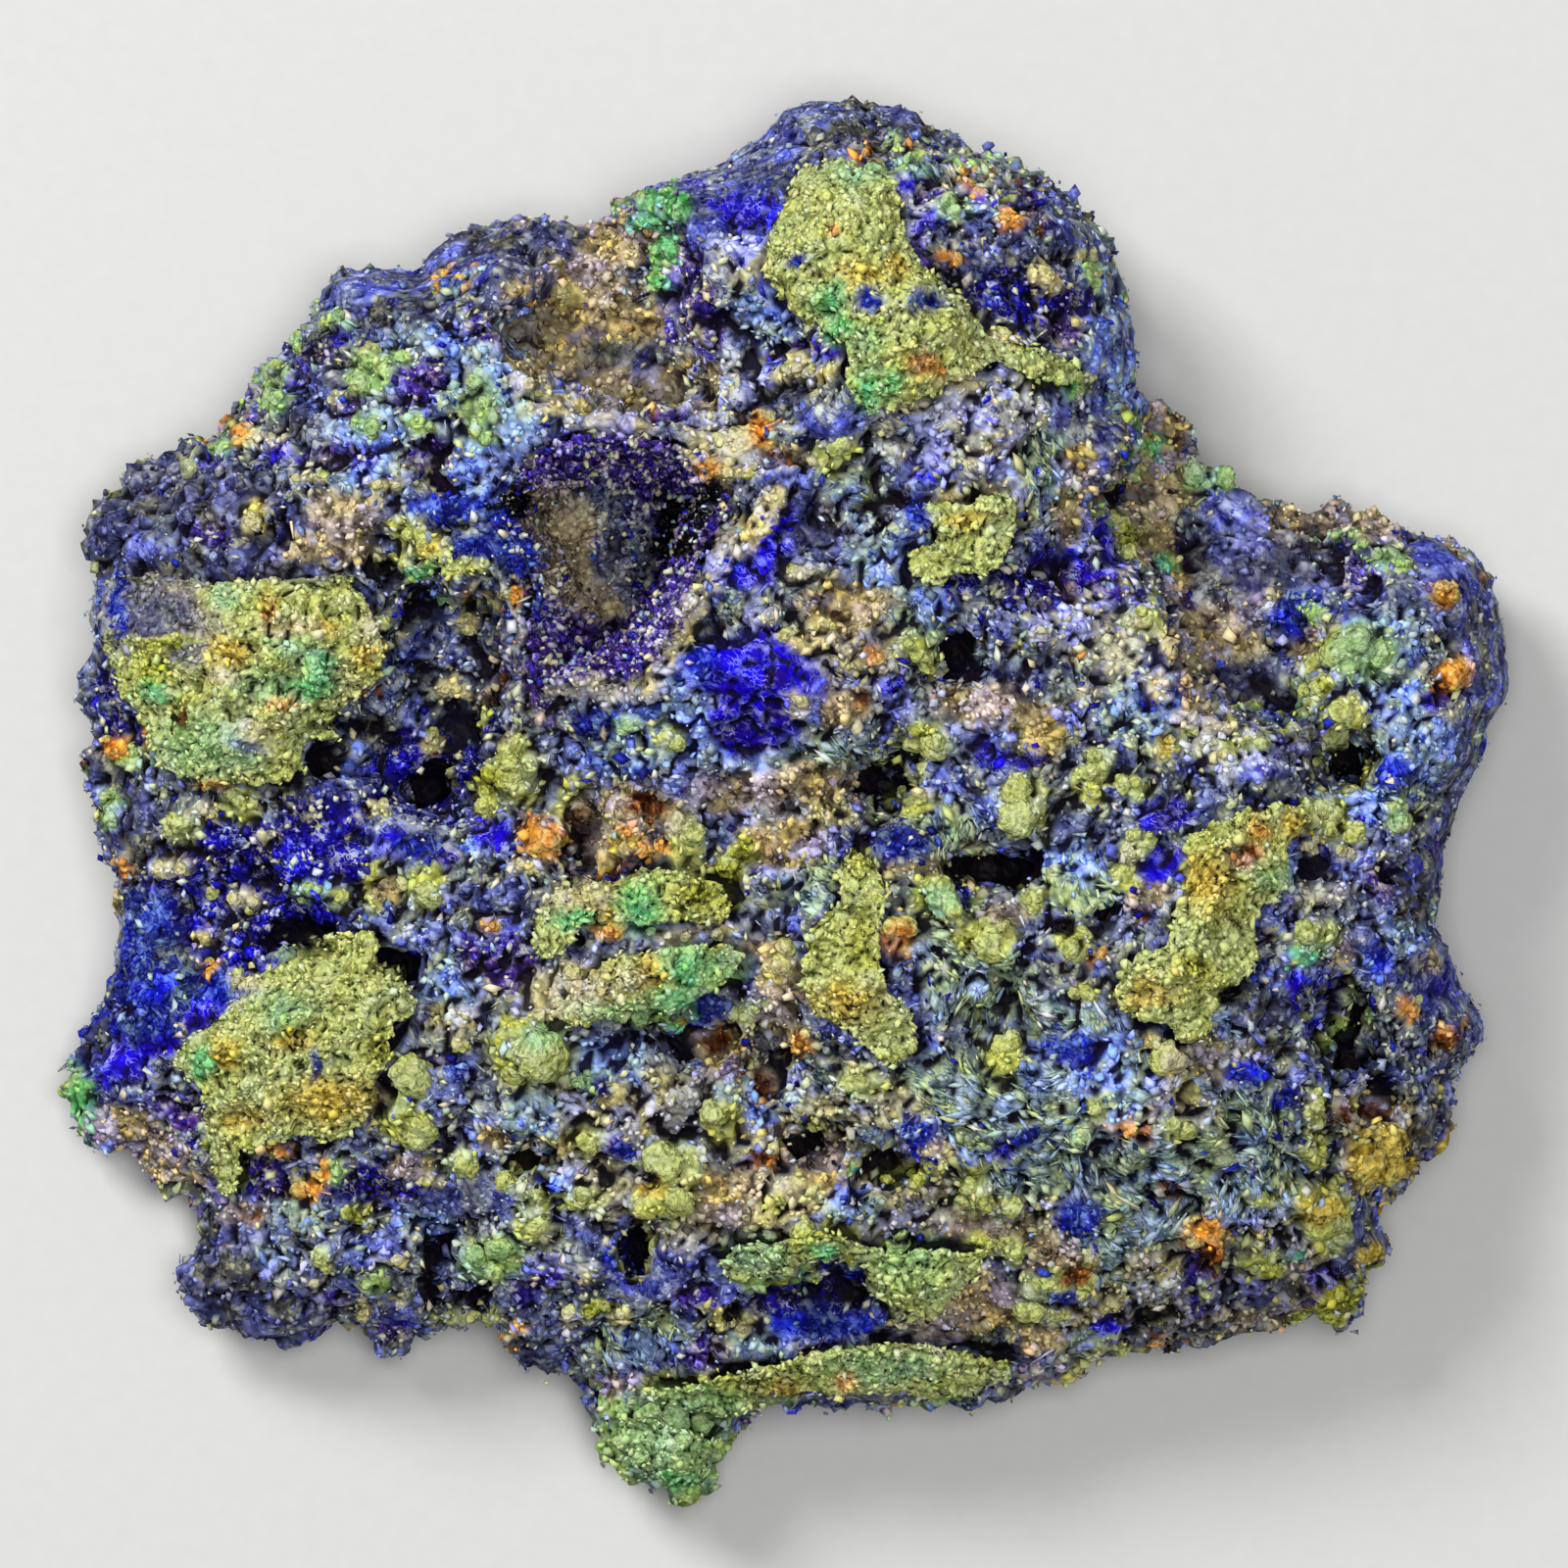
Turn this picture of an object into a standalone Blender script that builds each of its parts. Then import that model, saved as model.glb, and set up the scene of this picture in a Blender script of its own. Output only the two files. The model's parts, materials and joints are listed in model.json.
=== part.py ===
"""Azurite specimen: a slab-like cluster of rounded lobes with malachite crusts and one crystal-lined hollow.

The mass lies on its flat back. X runs along its length, Y across it, and Z is its thickness. Its front is a
relief over the outline: broad spot heights, steep-walled hollows, pits, nodules and a druse of six-sided
crystals. Every crust is grown from the very faces that it covers, lifted by a small clearance.
"""
import math

import bmesh
import bpy
import numpy as np
from mathutils import Vector, geometry, noise

MM = 0.001               # lengths below are in millimetres

# Driving dimensions
GAP = 0.3                # clearance between a crust and the mass
GRAIN = 1.9              # spacing of the relief's points, a third of them crystal tips
VUG_GRAIN = 1.35         # the same inside the crystal-lined hollow
BACK_GRAIN = 4.5         # spacing of the points of the back
EDGE_STEP = 1.8          # longest straight stretch along an outline
FRONT_ROUND = 6.0        # how far in from the outline the front is rounded over
RIM_ROWS = (0.45, 1.4)   # rows of points that follow the outline, set in this far
VUG_ROWS = (0.5, 1.1, 1.7, 2.3)  # the same down the wall of the crystal-lined hollow
BACK_ROUND = 8.0         # how far in from the outline the back lifts off the resting face
RIM_LEVEL = 0.42         # height of the outline as a share of the relief beside it
SPOT_REACH = 3.0         # how far a spot height spreads
CALM = 1.5               # how far from an outline or a crust's border the lumps and crystals fade
CRYSTAL = 0.75           # mean height of the druse's crystals
LUMP = 7.0               # spacing of the rounded lumps
LUMP_DEPTH = 1.6         # depth of the creases between them
MIN_WALL = 1.6           # least thickness behind a pit
JITTER = 0.16            # how far a lattice point may stray, as a share of the spacing
SEED = 7

# Rings of points round a pit's or nodule's middle: how far out, and how many
PIT_RINGS = ((0, 1), (0.75, 5), (1.35, 7))
NODULE_RINGS = ((0, 1), (0.62, 5), (1, 7))
NODULE_RISE = 0.6        # height of a nodule as a share of its radius
BACK_ROWS = (1.6, 4)     # rows of points that follow the outline on the back

# Places below are pixels of the picture, read by eye. Heights and depths are millimetres.
PIXELS = 16              # to the millimetre
MIDDLE = (801.5, 819)    # the pixel that the middle of the specimen's box falls on


def read_off(rows, sizes=0):
    """Rows in millimetres, to a tenth: a place, this many sizes, and the rest as it stands."""
    placed = []
    for x, y, *rest in rows:
        at = [(x - MIDDLE[0]) / PIXELS, (MIDDLE[1] - y) / PIXELS]
        at += [size / PIXELS for size in rest[:sizes]]
        placed.append((*(round(value, 1) for value in at), *rest[sizes:]))
    return placed


# The outline, clockwise: each row is a notch between two lobes and how far the lobe after it bulges out,
# in pixels too
LOBES = read_off([
    (98, 581, 24), (97, 502, 3), (118, 494, 14), (173, 452, 3), (216, 432, 8), (250, 399, 5),
    (287, 344, 6), (317, 316, 8), (345, 266, 3), (420, 271, 4), (460, 230, 5), (540, 213, 7),
    (600, 228, 3), (650, 190, 2), (705, 166, 2), (733, 163, 3), (782, 127, 13), (852, 96, 7),
    (900, 98, 7), (955, 116, 2), (998, 145, 8), (1045, 160, 5), (1100, 195, 6), (1145, 280, 10),
    (1160, 345, 6), (1160, 393, 25), (1228, 467, 12), (1270, 493, 3), (1350, 514, 14), (1450, 537, 22),
    (1536, 610, 1), (1542, 660, 19), (1520, 737, 5), (1502, 798, 2), (1482, 860, 2), (1468, 940, 5),
    (1495, 1000, 28), (1498, 1095, 1), (1490, 1145, 6), (1455, 1203, 3), (1408, 1240, 22),
    (1405, 1308, 28), (1340, 1350, 2), (1270, 1370, 4), (1215, 1380, 10), (1165, 1383, -2),
    (1105, 1402, 4), (1040, 1430, 0), (985, 1441, 3), (930, 1437, 10), (875, 1439, 4), (825, 1434, 4),
    (786, 1436, 6), (748, 1461, 1), (735, 1490, 5), (738, 1513, 24), (668, 1525, 13), (612, 1480, 0),
    (586, 1425, 2), (583, 1398, 2), (522, 1393, 3), (497, 1350, 1), (430, 1365, 27), (368, 1365, -6),
    (332, 1364, 12), (250, 1375, 4), (200, 1346, 18), (180, 1285, 3), (205, 1255, 2), (182, 1220, 8),
    (135, 1190, 8), (65, 1155, 4), (55, 1090, 2), (100, 1010, 2), (117, 945, -1), (100, 875, 3),
    (78, 800, 3), (84, 745, 9), (86, 668, 8),
], sizes=1)

# Spot heights of the front, by region: place and height
SPOTS = {
    "dome": read_off([
        (880, 130, 19), (960, 200, 24), (1060, 250, 24), (1105, 330, 22), (1100, 450, 21), (850, 230, 26),
        (900, 340, 28), (990, 420, 26), (1000, 300, 22), (770, 180, 20), (800, 130, 17), (1010, 180, 20),
        (760, 270, 22), (740, 330, 20),
    ]),
    "upper left shoulder": read_off([
        (540, 240, 18), (470, 260, 19), (380, 300, 17), (460, 350, 23), (420, 400, 23), (330, 330, 15),
        (280, 400, 15), (330, 450, 19), (480, 490, 23), (400, 470, 21),
    ]),
    "ridge around the vug": read_off([
        (530, 400, 24), (600, 425, 24), (680, 440, 24), (440, 560, 22), (520, 560, 24), (525, 700, 23),
        (600, 740, 24), (720, 620, 25), (700, 540, 24), (770, 560, 27), (760, 700, 28),
    ]),
    "left lobes": read_off([
        (140, 480, 13), (110, 540, 12), (200, 520, 17), (260, 510, 18), (330, 520, 20), (250, 650, 18),
        (130, 640, 14), (150, 740, 14), (250, 760, 17), (360, 650, 18), (370, 820, 17), (420, 870, 18),
        (130, 820, 12), (240, 840, 15), (330, 880, 17), (160, 900, 12), (250, 930, 14), (130, 980, 11),
        (200, 1000, 12), (100, 1080, 9), (130, 1150, 9), (70, 1130, 7),
    ]),
    "middle": read_off([
        (840, 600, 25), (850, 700, 26), (760, 790, 23), (640, 780, 22), (560, 830, 21), (640, 900, 23),
        (660, 980, 24), (500, 960, 20), (520, 1080, 21), (450, 1010, 20), (600, 1110, 21),
        (750, 1080, 21), (740, 860, 22), (900, 600, 25), (1000, 550, 25), (1000, 680, 25), (900, 780, 23),
        (1080, 700, 25), (1050, 830, 25), (880, 980, 26), (990, 960, 25), (1120, 880, 25),
        (900, 1120, 24), (1000, 1100, 24), (1130, 1100, 25), (1230, 1000, 26), (1250, 870, 25),
        (1180, 780, 24), (1270, 770, 22), (1140, 560, 21), (1140, 640, 23), (1200, 720, 22),
    ]),
    "right wing": read_off([
        (1480, 580, 15), (1510, 660, 14), (1440, 650, 17), (1390, 700, 17), (1440, 750, 17),
        (1460, 850, 16), (1400, 850, 19), (1350, 900, 21), (1330, 960, 22), (1400, 960, 19),
        (1450, 1000, 16), (1500, 1040, 12), (1430, 1060, 16), (1300, 1100, 22), (1400, 1150, 17),
        (1460, 1130, 14), (1350, 1230, 18), (1250, 1200, 21), (1400, 1270, 13), (1370, 1330, 11),
        (1300, 1310, 14),
    ]),
    "lower slope": read_off([
        (1180, 1300, 17), (1200, 1360, 12), (1100, 1250, 20), (1050, 1350, 15), (1060, 1410, 11),
        (950, 1290, 17), (900, 1390, 14), (980, 1420, 11), (820, 1410, 14), (720, 1420, 13),
        (690, 1360, 14), (620, 1330, 14), (560, 1370, 11), (540, 1310, 14), (680, 1290, 17),
        (600, 1250, 18), (490, 1260, 17), (690, 1200, 20), (820, 1200, 20), (900, 1220, 20),
    ]),
    "knob": read_off([
        (680, 1480, 10), (610, 1420, 8), (700, 1520, 7),
    ]),
    "lower left lobes": read_off([
        (300, 1050, 18), (250, 1100, 17), (370, 1000, 18), (240, 1200, 13), (330, 1190, 16),
        (430, 1120, 20), (230, 1300, 11), (300, 1360, 9), (380, 1280, 14), (400, 1360, 9),
        (350, 1230, 15), (440, 1310, 12), (460, 1220, 17), (200, 1240, 10), (180, 1190, 9), (100, 1180, 7),
    ]),
}

# Steep-walled hollows: outline, width of the wall, and the floor's own spot heights
VUG = read_off([
    (515, 505), (545, 485), (560, 462), (600, 447), (650, 447), (700, 462), (722, 485), (745, 512),
    (738, 530), (722, 545), (712, 585), (702, 620), (672, 660), (648, 690), (600, 695), (555, 700),
    (542, 660), (548, 610), (530, 570), (512, 535),
])
HOLLOWS = {
    "vug": (VUG, 2.3, read_off([
        (561, 520, 8), (610, 570, 10), (690, 518, 7), (625, 493, 8), (600, 653, 10), (664, 605, 8),
    ])),
    "brown recess": (read_off([
        (590, 240), (640, 215), (700, 225), (705, 290), (690, 350), (735, 378), (765, 392), (720, 415),
        (660, 425), (590, 412), (545, 392), (508, 358), (505, 322), (545, 300), (562, 270),
    ]), 1.8, read_off([
        (620, 260, 16), (560, 330, 15), (650, 340, 14), (700, 390, 15),
    ])),
    "dark recess": (read_off([
        (398, 602), (500, 600), (518, 640), (522, 690), (508, 745), (470, 790), (440, 840), (400, 832),
        (380, 798), (345, 792), (318, 775), (320, 757), (352, 745), (360, 727), (398, 700), (402, 650),
    ]), 1.6, read_off([
        (450, 650, 15), (480, 730, 13.5), (400, 760, 14), (430, 810, 13),
    ])),
    "back plate": (read_off([
        (1150, 380), (1240, 380), (1300, 480), (1460, 500), (1450, 540), (1365, 545), (1388, 592),
        (1350, 620), (1342, 680), (1332, 742), (1300, 746), (1250, 722), (1208, 692), (1190, 640),
        (1165, 585), (1130, 540), (1118, 500), (1150, 470),
    ]), 1.5, read_off([
        (1190, 430, 9), (1240, 520, 11), (1330, 560, 12), (1420, 520, 11), (1260, 640, 13),
        (1310, 710, 13),
    ])),
    "blue window": (read_off([
        (748, 1310), (795, 1302), (835, 1289), (868, 1284), (890, 1312), (908, 1350), (880, 1364),
        (825, 1378), (760, 1394), (728, 1394), (735, 1345),
    ]), 1.2, read_off([
        (800, 1340, 12.5), (870, 1320, 13),
    ])),
}

# Pits: place, half-width along X and Y in pixels too, and depth
PITS = read_off([
    (900, 800, 28, 20, 6), (928, 768, 18, 11, 4), (1010, 888, 38, 20, 7), (1370, 776, 30, 27, 10),
    (650, 1278, 14, 28, 5), (455, 812, 34, 20, 5), (598, 858, 16, 36, 5), (405, 988, 22, 14, 5),
    (300, 962, 34, 14, 4), (540, 1186, 20, 14, 4), (836, 1166, 13, 16, 4), (905, 1190, 19, 13, 3),
    (446, 1291, 13, 38, 4), (472, 1330, 22, 17, 5), (1372, 1055, 26, 45, 6), (1410, 1120, 24, 18, 4),
    (980, 682, 13, 21, 3), (708, 1062, 36, 20, 3.5), (786, 1082, 14, 30, 4), (392, 562, 14, 18, 3),
    (1385, 594, 16, 13, 3),
], sizes=2)

# Nodules grown on the front, all in millimetres: place and radius
NODULES = [
    (-17.3, 1.2, 2.2), (-22.9, -5.1, 1.8), (-4.2, -20.2, 1.4), (-7.6, -24.8, 2.4), (-16.3, -16, 2.5),
    (-18.8, -28.5, 2), (-24.2, -19.4, 1.6), (-20.7, -22.9, 1.3), (-16, -24.8, 1.6), (15.5, -0.7, 2.4),
    (19.3, 1.2, 1.6), (10.5, -6.6, 1.9), (12.7, -8.8, 1.8), (18.3, -8.8, 1.3), (14, -16.3, 1.4),
    (4.3, -18.5, 1.3), (33.3, -8.5, 1.8), (35.8, 8.1, 2.2), (35.8, 5.3, 1.6), (33.7, -25.7, 2.2),
    (37.4, -21.9, 2.8), (2.7, 21.8, 1.3), (-9.5, -1.9, 1.9), (-5.7, -2.6, 1.6), (-7.3, 4, 1.2),
    (20.2, 17.1, 1.3),
]

# Malachite crusts: outline, full thickness, and height of their grains
CRUSTS = {
    "malachite_left": (read_off([
        (97, 605), (115, 585), (165, 581), (225, 592), (290, 585), (350, 583), (380, 615), (396, 655),
        (392, 695), (352, 725), (345, 752), (313, 760), (312, 790), (270, 804), (205, 802), (160, 785),
        (145, 745), (122, 705), (103, 655),
    ]), 1.8, 0.35),
    "malachite_lower_left": (read_off([
        (174, 1088), (190, 1058), (222, 1042), (248, 998), (300, 978), (340, 950), (385, 948), (388, 985),
        (425, 1003), (425, 1035), (403, 1050), (402, 1085), (385, 1130), (355, 1165), (305, 1160),
        (265, 1178), (245, 1175), (243, 1215), (222, 1222), (213, 1180), (205, 1140), (205, 1112),
    ]), 1.6, 0.4),
    "malachite_dome": (read_off([
        (800, 210), (818, 170), (865, 165), (912, 185), (925, 240), (942, 275), (985, 310), (1005, 340),
        (1060, 357), (1104, 370), (1095, 398), (1050, 390), (1020, 372), (985, 388), (940, 412),
        (885, 430), (865, 405), (860, 360), (815, 325), (778, 280), (785, 235),
    ]), 1.8, 0.4),
    "malachite_tongue": (read_off([
        (562, 1038), (578, 1012), (610, 995), (625, 974), (668, 965), (705, 958), (745, 963), (764, 977),
        (748, 1000), (722, 1016), (690, 1036), (650, 1030), (620, 1040), (585, 1050),
    ]), 1.4, 0.3),
    "malachite_arch": (read_off([
        (543, 950), (548, 925), (575, 896), (620, 893), (655, 880), (690, 884), (740, 898), (752, 925),
        (735, 942), (690, 941), (645, 945), (612, 930), (592, 948), (575, 978), (548, 978),
    ]), 1.3, 0.3),
    "malachite_strip": (read_off([
        (852, 880), (870, 862), (898, 880), (910, 910), (900, 940), (900, 975), (905, 1008), (932, 1030),
        (940, 1065), (915, 1087), (880, 1070), (860, 1048), (830, 1038), (815, 1000), (820, 965),
        (830, 940), (855, 915),
    ]), 1.4, 0.3),
    "malachite_clumps": (read_off([
        (925, 525), (945, 510), (990, 515), (1012, 500), (1035, 508), (1035, 540), (1025, 575),
        (1005, 592), (975, 590), (958, 603), (932, 590), (925, 565), (950, 555), (945, 538),
    ]), 1.4, 0.3),
    "malachite_right": (read_off([
        (1205, 850), (1240, 835), (1290, 820), (1328, 815), (1335, 838), (1315, 862), (1312, 905),
        (1288, 930), (1283, 975), (1262, 1008), (1240, 1030), (1232, 1060), (1205, 1068), (1182, 1045),
        (1150, 1040), (1130, 1015), (1140, 980), (1180, 965), (1195, 925), (1215, 900), (1207, 875),
    ]), 1.7, 0.35),
    "malachite_frame": (read_off([
        (735, 1290), (745, 1268), (800, 1262), (850, 1255), (905, 1275), (960, 1272), (1010, 1275),
        (1000, 1300), (975, 1325), (950, 1350), (912, 1348), (893, 1310), (868, 1280), (835, 1285),
        (790, 1302), (745, 1308),
    ]), 1.1, 0.3),
    "malachite_ledge": (read_off([
        (650, 1422), (700, 1412), (760, 1400), (830, 1380), (900, 1368), (965, 1368), (1000, 1385),
        (1035, 1390), (1029, 1411), (985, 1429), (935, 1424), (880, 1427), (830, 1421), (786, 1424),
        (766, 1440), (737, 1448), (700, 1440),
    ]), 1.1, 0.3),
    "malachite_knob": (read_off([
        (628, 1449), (650, 1443), (700, 1457), (733, 1473), (723, 1492), (723, 1510), (705, 1525),
        (681, 1513), (665, 1510), (646, 1497), (627, 1478),
    ]), 1.2, 0.3),
}
CRUST_EDGE = 0.45        # thickness of a crust at its border
CRUST_ROUND = 2.2        # how far in from its border a crust reaches its full thickness
DRUSE = (0.9, 1.1)       # thickness of the vug's crystal crust, and height of its crystals
STEEPEST = 0.3           # least upward share of a normal counted when a thickness is laid on a slope

# Colours: red, green, blue and roughness
AZURITE = (0.10, 0.15, 0.30, 0.75)
MALACHITE = (0.23, 0.34, 0.14, 0.8)
DRUSE_BLUE = (0.03, 0.03, 0.08, 0.45)


def clear_scene():
    """Remove whatever the file holds."""
    for item in list(bpy.data.objects):
        bpy.data.objects.remove(item, do_unlink=True)


def stone(name, look):
    """A Principled material from a row of colour and roughness."""
    red, green, blue, rough = look
    material = bpy.data.materials.new(name)
    material.use_nodes = True
    shader = material.node_tree.nodes["Principled BSDF"]
    shader.inputs["Base Color"].default_value = (red, green, blue, 1)
    shader.inputs["Roughness"].default_value = rough
    shader.inputs["Metallic"].default_value = 0
    return material


def place(name, bm, look):
    """Turn a bmesh in millimetres into a named object in metres."""
    bmesh.ops.recalc_face_normals(bm, faces=bm.faces)
    bmesh.ops.scale(bm, vec=(MM, MM, MM), verts=bm.verts)
    mesh = bpy.data.meshes.new(name)
    bm.to_mesh(mesh)
    bm.free()
    mesh.materials.append(stone(name, look))
    item = bpy.data.objects.new(name, mesh)
    bpy.context.scene.collection.objects.link(item)
    return item


# Outlines in the plane

def lobe(start, end, bulge):
    """Points of one bulging lobe, from its notch up to the next one."""
    ax, ay = start
    bx, by = end
    length = math.hypot(bx - ax, by - ay)
    steps = max(1, math.ceil(length / EDGE_STEP))
    for i in range(steps):
        t = i / steps
        out = 4 * t * (1 - t) * bulge
        yield ax + (bx - ax) * t - (by - ay) / length * out, ay + (by - ay) * t + (bx - ax) / length * out


def closed(rows):
    """A closed outline from rows of (x, y) or (x, y, bulge)."""
    loop = []
    for row, after in zip(rows, rows[1:] + rows[:1]):
        loop += lobe(row[:2], after[:2], row[2] if len(row) > 2 else 0)
    return np.array(loop)


def centred(rows):
    """Shift an outline's rows so that its bounding box is centred on the origin."""
    loop = closed(rows)
    dx, dy = (loop.max(axis=0) + loop.min(axis=0)) / 2
    return [(x - dx, y - dy, bulge) for x, y, bulge in rows]


def is_inside(points, loop):
    """True for each point that lies inside a closed outline."""
    x, y = points[:, :1], points[:, 1:]
    ax, ay = loop.T
    bx, by = np.roll(loop, -1, axis=0).T
    spans = (ay > y) != (by > y)
    rise = np.where(by == ay, 1, by - ay)
    return (spans & (x < ax + (bx - ax) * (y - ay) / rise)).sum(axis=1) % 2 == 1


def reach(points, loop):
    """Distance from each point to a closed outline."""
    start = loop[None]
    run = np.roll(loop, -1, axis=0)[None] - start
    away = points[:, None] - start
    t = np.clip((away * run).sum(axis=2) / (run ** 2).sum(axis=2), 0, 1)
    return np.linalg.norm(away - t[..., None] * run, axis=2).min(axis=1)


# The relief

def spread(points, spots):
    """Heights at points, blended from spot heights."""
    spots = np.array(spots, dtype=float)
    far = ((points[:, None] - spots[None, :, :2]) ** 2).sum(axis=2)
    far -= far.min(axis=1, keepdims=True)
    weight = np.exp(-far / (2 * SPOT_REACH ** 2))
    return (weight * spots[:, 2]).sum(axis=1) / weight.sum(axis=1)


def smooth(t):
    """Ease from 0 to 1."""
    t = np.clip(t, 0, 1)
    return t * t * (3 - 2 * t)


def rounded(t):
    """Rise from 0 to 1 along a quarter circle."""
    return np.sqrt(1 - (1 - np.clip(t, 0, 1)) ** 2)


def broad(points):
    """Height of the front without hollows, pits, nodules or crystals."""
    return spread(points, sum(SPOTS.values(), []))


def lump(place):
    """Seeded rounded lumps: 0 in the creases between them, up to 1 on top."""
    away = noise.voronoi(Vector(place) / LUMP + Vector((SEED, SEED, SEED)))[0][0]
    return math.sqrt(max(0, 1 - away * away * 1.6))


def ellipse_share(points, row):
    """How far out each point lies in a pit or nodule: 0 at its middle, 1 at its edge."""
    x, y, wide, tall = row
    return np.hypot((points[:, 0] - x) / wide, (points[:, 1] - y) / tall)


def front(points, outline):
    """Height of the front at each point, before its lumps and crystals."""
    height = broad(points)
    for loop, wall, floor in HOLLOWS.values():
        loop = closed(loop)
        depth = smooth(reach(points, loop) / wall) * is_inside(points, loop)
        height += depth * (spread(points, floor) - height)
    for x, y, wide, tall, deep in PITS:
        height -= deep * np.exp(-ellipse_share(points, (x, y, wide, tall)) ** 4)
    for x, y, radius in NODULES:
        share = ellipse_share(points, (x, y, radius, radius))
        height += NODULE_RISE * radius * np.sqrt(np.clip(1 - share ** 2, 0, 1))
    rim = RIM_LEVEL * broad(points)
    edge = reach(points, outline)
    height = rim + (height - rim) * rounded(edge / FRONT_ROUND)
    return np.maximum(height, back(points, outline) + MIN_WALL * np.clip(edge / MIN_WALL, 0, 1))


def back(points, outline):
    """Height of the back: flat where it rests, lifting to the rim in a curve."""
    return RIM_LEVEL * broad(points) * (1 - rounded(reach(points, outline) / BACK_ROUND))


# Points and sheets

def lattice(spacing, low, high, rng):
    """A jittered triangular lattice over a box, and which of its points are crystal tips."""
    rows = int((high[1] - low[1]) / (spacing * math.sqrt(0.75))) + 2
    columns = int((high[0] - low[0]) / spacing) + 2
    points = []
    tips = []
    for j in range(rows):
        for i in range(columns):
            points.append((low[0] + spacing * (i + 0.5 * (j % 2)), low[1] + spacing * math.sqrt(0.75) * j))
            tips.append((i - (j - j % 2) // 2 - j) % 3 == 0)
    points = np.array(points) + rng.uniform(-JITTER, JITTER, (len(points), 2)) * spacing
    return points, np.array(tips)


def ring(x, y, wide, tall, count, turn):
    """Points round an ellipse."""
    angles = turn + np.arange(count) * math.tau / count
    return np.column_stack((x + wide * np.cos(angles), y + tall * np.sin(angles)))


def rows_inside(loop, steps):
    """Rows of points that follow a clockwise outline, set in from it by each step."""
    ahead = np.roll(loop, -1, axis=0) - np.roll(loop, 1, axis=0)
    inward = np.column_stack((ahead[:, 1], -ahead[:, 0])) / np.linalg.norm(ahead, axis=1)[:, None]
    return [loop + inward * step for step in steps]


def spaced(points, kept, spacing):
    """True for each point at least a spacing away from those kept already."""
    gaps = np.linalg.norm(points[:, None] - kept[None], axis=2)
    return gaps.min(axis=1) > spacing


def front_points(outline, borders, rng):
    """Every free point of the front with its crystal height: pits, nodules, ledges and the druse lattice."""
    kept = np.vstack([outline] + borders)
    free = np.empty((0, 2))
    heights = np.empty(0)

    def add(points, tips, spacing):
        nonlocal kept, free, heights
        good = is_inside(points, outline) & spaced(points, kept, spacing)
        kept = np.vstack((kept, points[good]))
        free = np.vstack((free, points[good]))
        heights = np.append(heights, tips[good])

    for x, y, wide, tall, _ in PITS:
        for scale, count in PIT_RINGS:
            add(ring(x, y, wide * scale, tall * scale, count, scale), np.zeros(count), 0.45)
    for x, y, radius in NODULES:
        for scale, count in NODULE_RINGS:
            add(ring(x, y, radius * scale, radius * scale, count, scale + x), np.zeros(count), 0.5)
    for name, (loop, wall, _) in HOLLOWS.items():
        for points in rows_inside(closed(loop), VUG_ROWS if name == "vug" else (0, wall)):
            add(points, CRYSTAL * rng.uniform(0, 0.8, len(points)) * (name == "vug"), 0.65)
    for points in rows_inside(outline, RIM_ROWS):
        add(points, np.zeros(len(points)), 0.4)
    vug = closed(VUG)
    for spacing, within in ((VUG_GRAIN, True), (GRAIN, False)):
        points, tips = lattice(spacing, outline.min(axis=0), outline.max(axis=0), rng)
        chosen = is_inside(points, vug) == within
        points, tips = points[chosen], tips[chosen]
        sizes = CRYSTAL * rng.uniform(0.45, 1.7, len(points)) * tips
        add(points, sizes, 0.62 * spacing)
    return free, heights


def sheet(loops, free, tips):
    """Triangulate outlines and free points: the points, their crystal heights and the triangles."""
    points = np.vstack(loops + [free])
    crystals = np.append(np.zeros(len(points) - len(free)), tips)
    edges = []
    first = 0
    for loop in loops:
        edges += [(first + i, first + (i + 1) % len(loop)) for i in range(len(loop))]
        first += len(loop)
    result = geometry.delaunay_2d_cdt([Vector(p) for p in points], edges, [], 1, 1e-5)
    corners = np.array([points[ids[0]] if ids else tuple(v) for v, ids in zip(result[0], result[3])])
    heights = np.array([crystals[ids[0]] if ids else 0 for ids in result[3]])
    return corners, heights, result[2]


def add_sheet(bm, corners, triangles):
    """Add a triangulated sheet to a bmesh."""
    verts = [bm.verts.new(corner) for corner in corners]
    return [bm.faces.new([verts[i] for i in triangle]) for triangle in triangles]


def grown_front(flat, crystals, triangles, outline, borders):
    """Corners of the front in space: the relief, with its lumps and crystals pushed out along its normals."""
    bm = bmesh.new()
    add_sheet(bm, np.column_stack((flat, front(flat, outline))), triangles)
    bm.normal_update()
    calm = smooth(np.min([reach(flat, loop) for loop in borders], axis=0) / CALM)
    calm[is_inside(flat, closed(VUG))] = 0
    edge = reach(flat, outline)
    crystals = crystals * calm * smooth(edge / CALM)
    sunk = LUMP_DEPTH * calm * smooth(edge / RIM_ROWS[0])
    for vert, tip, depth in zip(bm.verts, crystals, sunk):
        vert.co += vert.normal * (tip + depth * (lump(vert.co) - 1))
    corners = np.array([tuple(v.co) for v in bm.verts])
    bm.free()
    return corners


# Pieces

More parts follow.
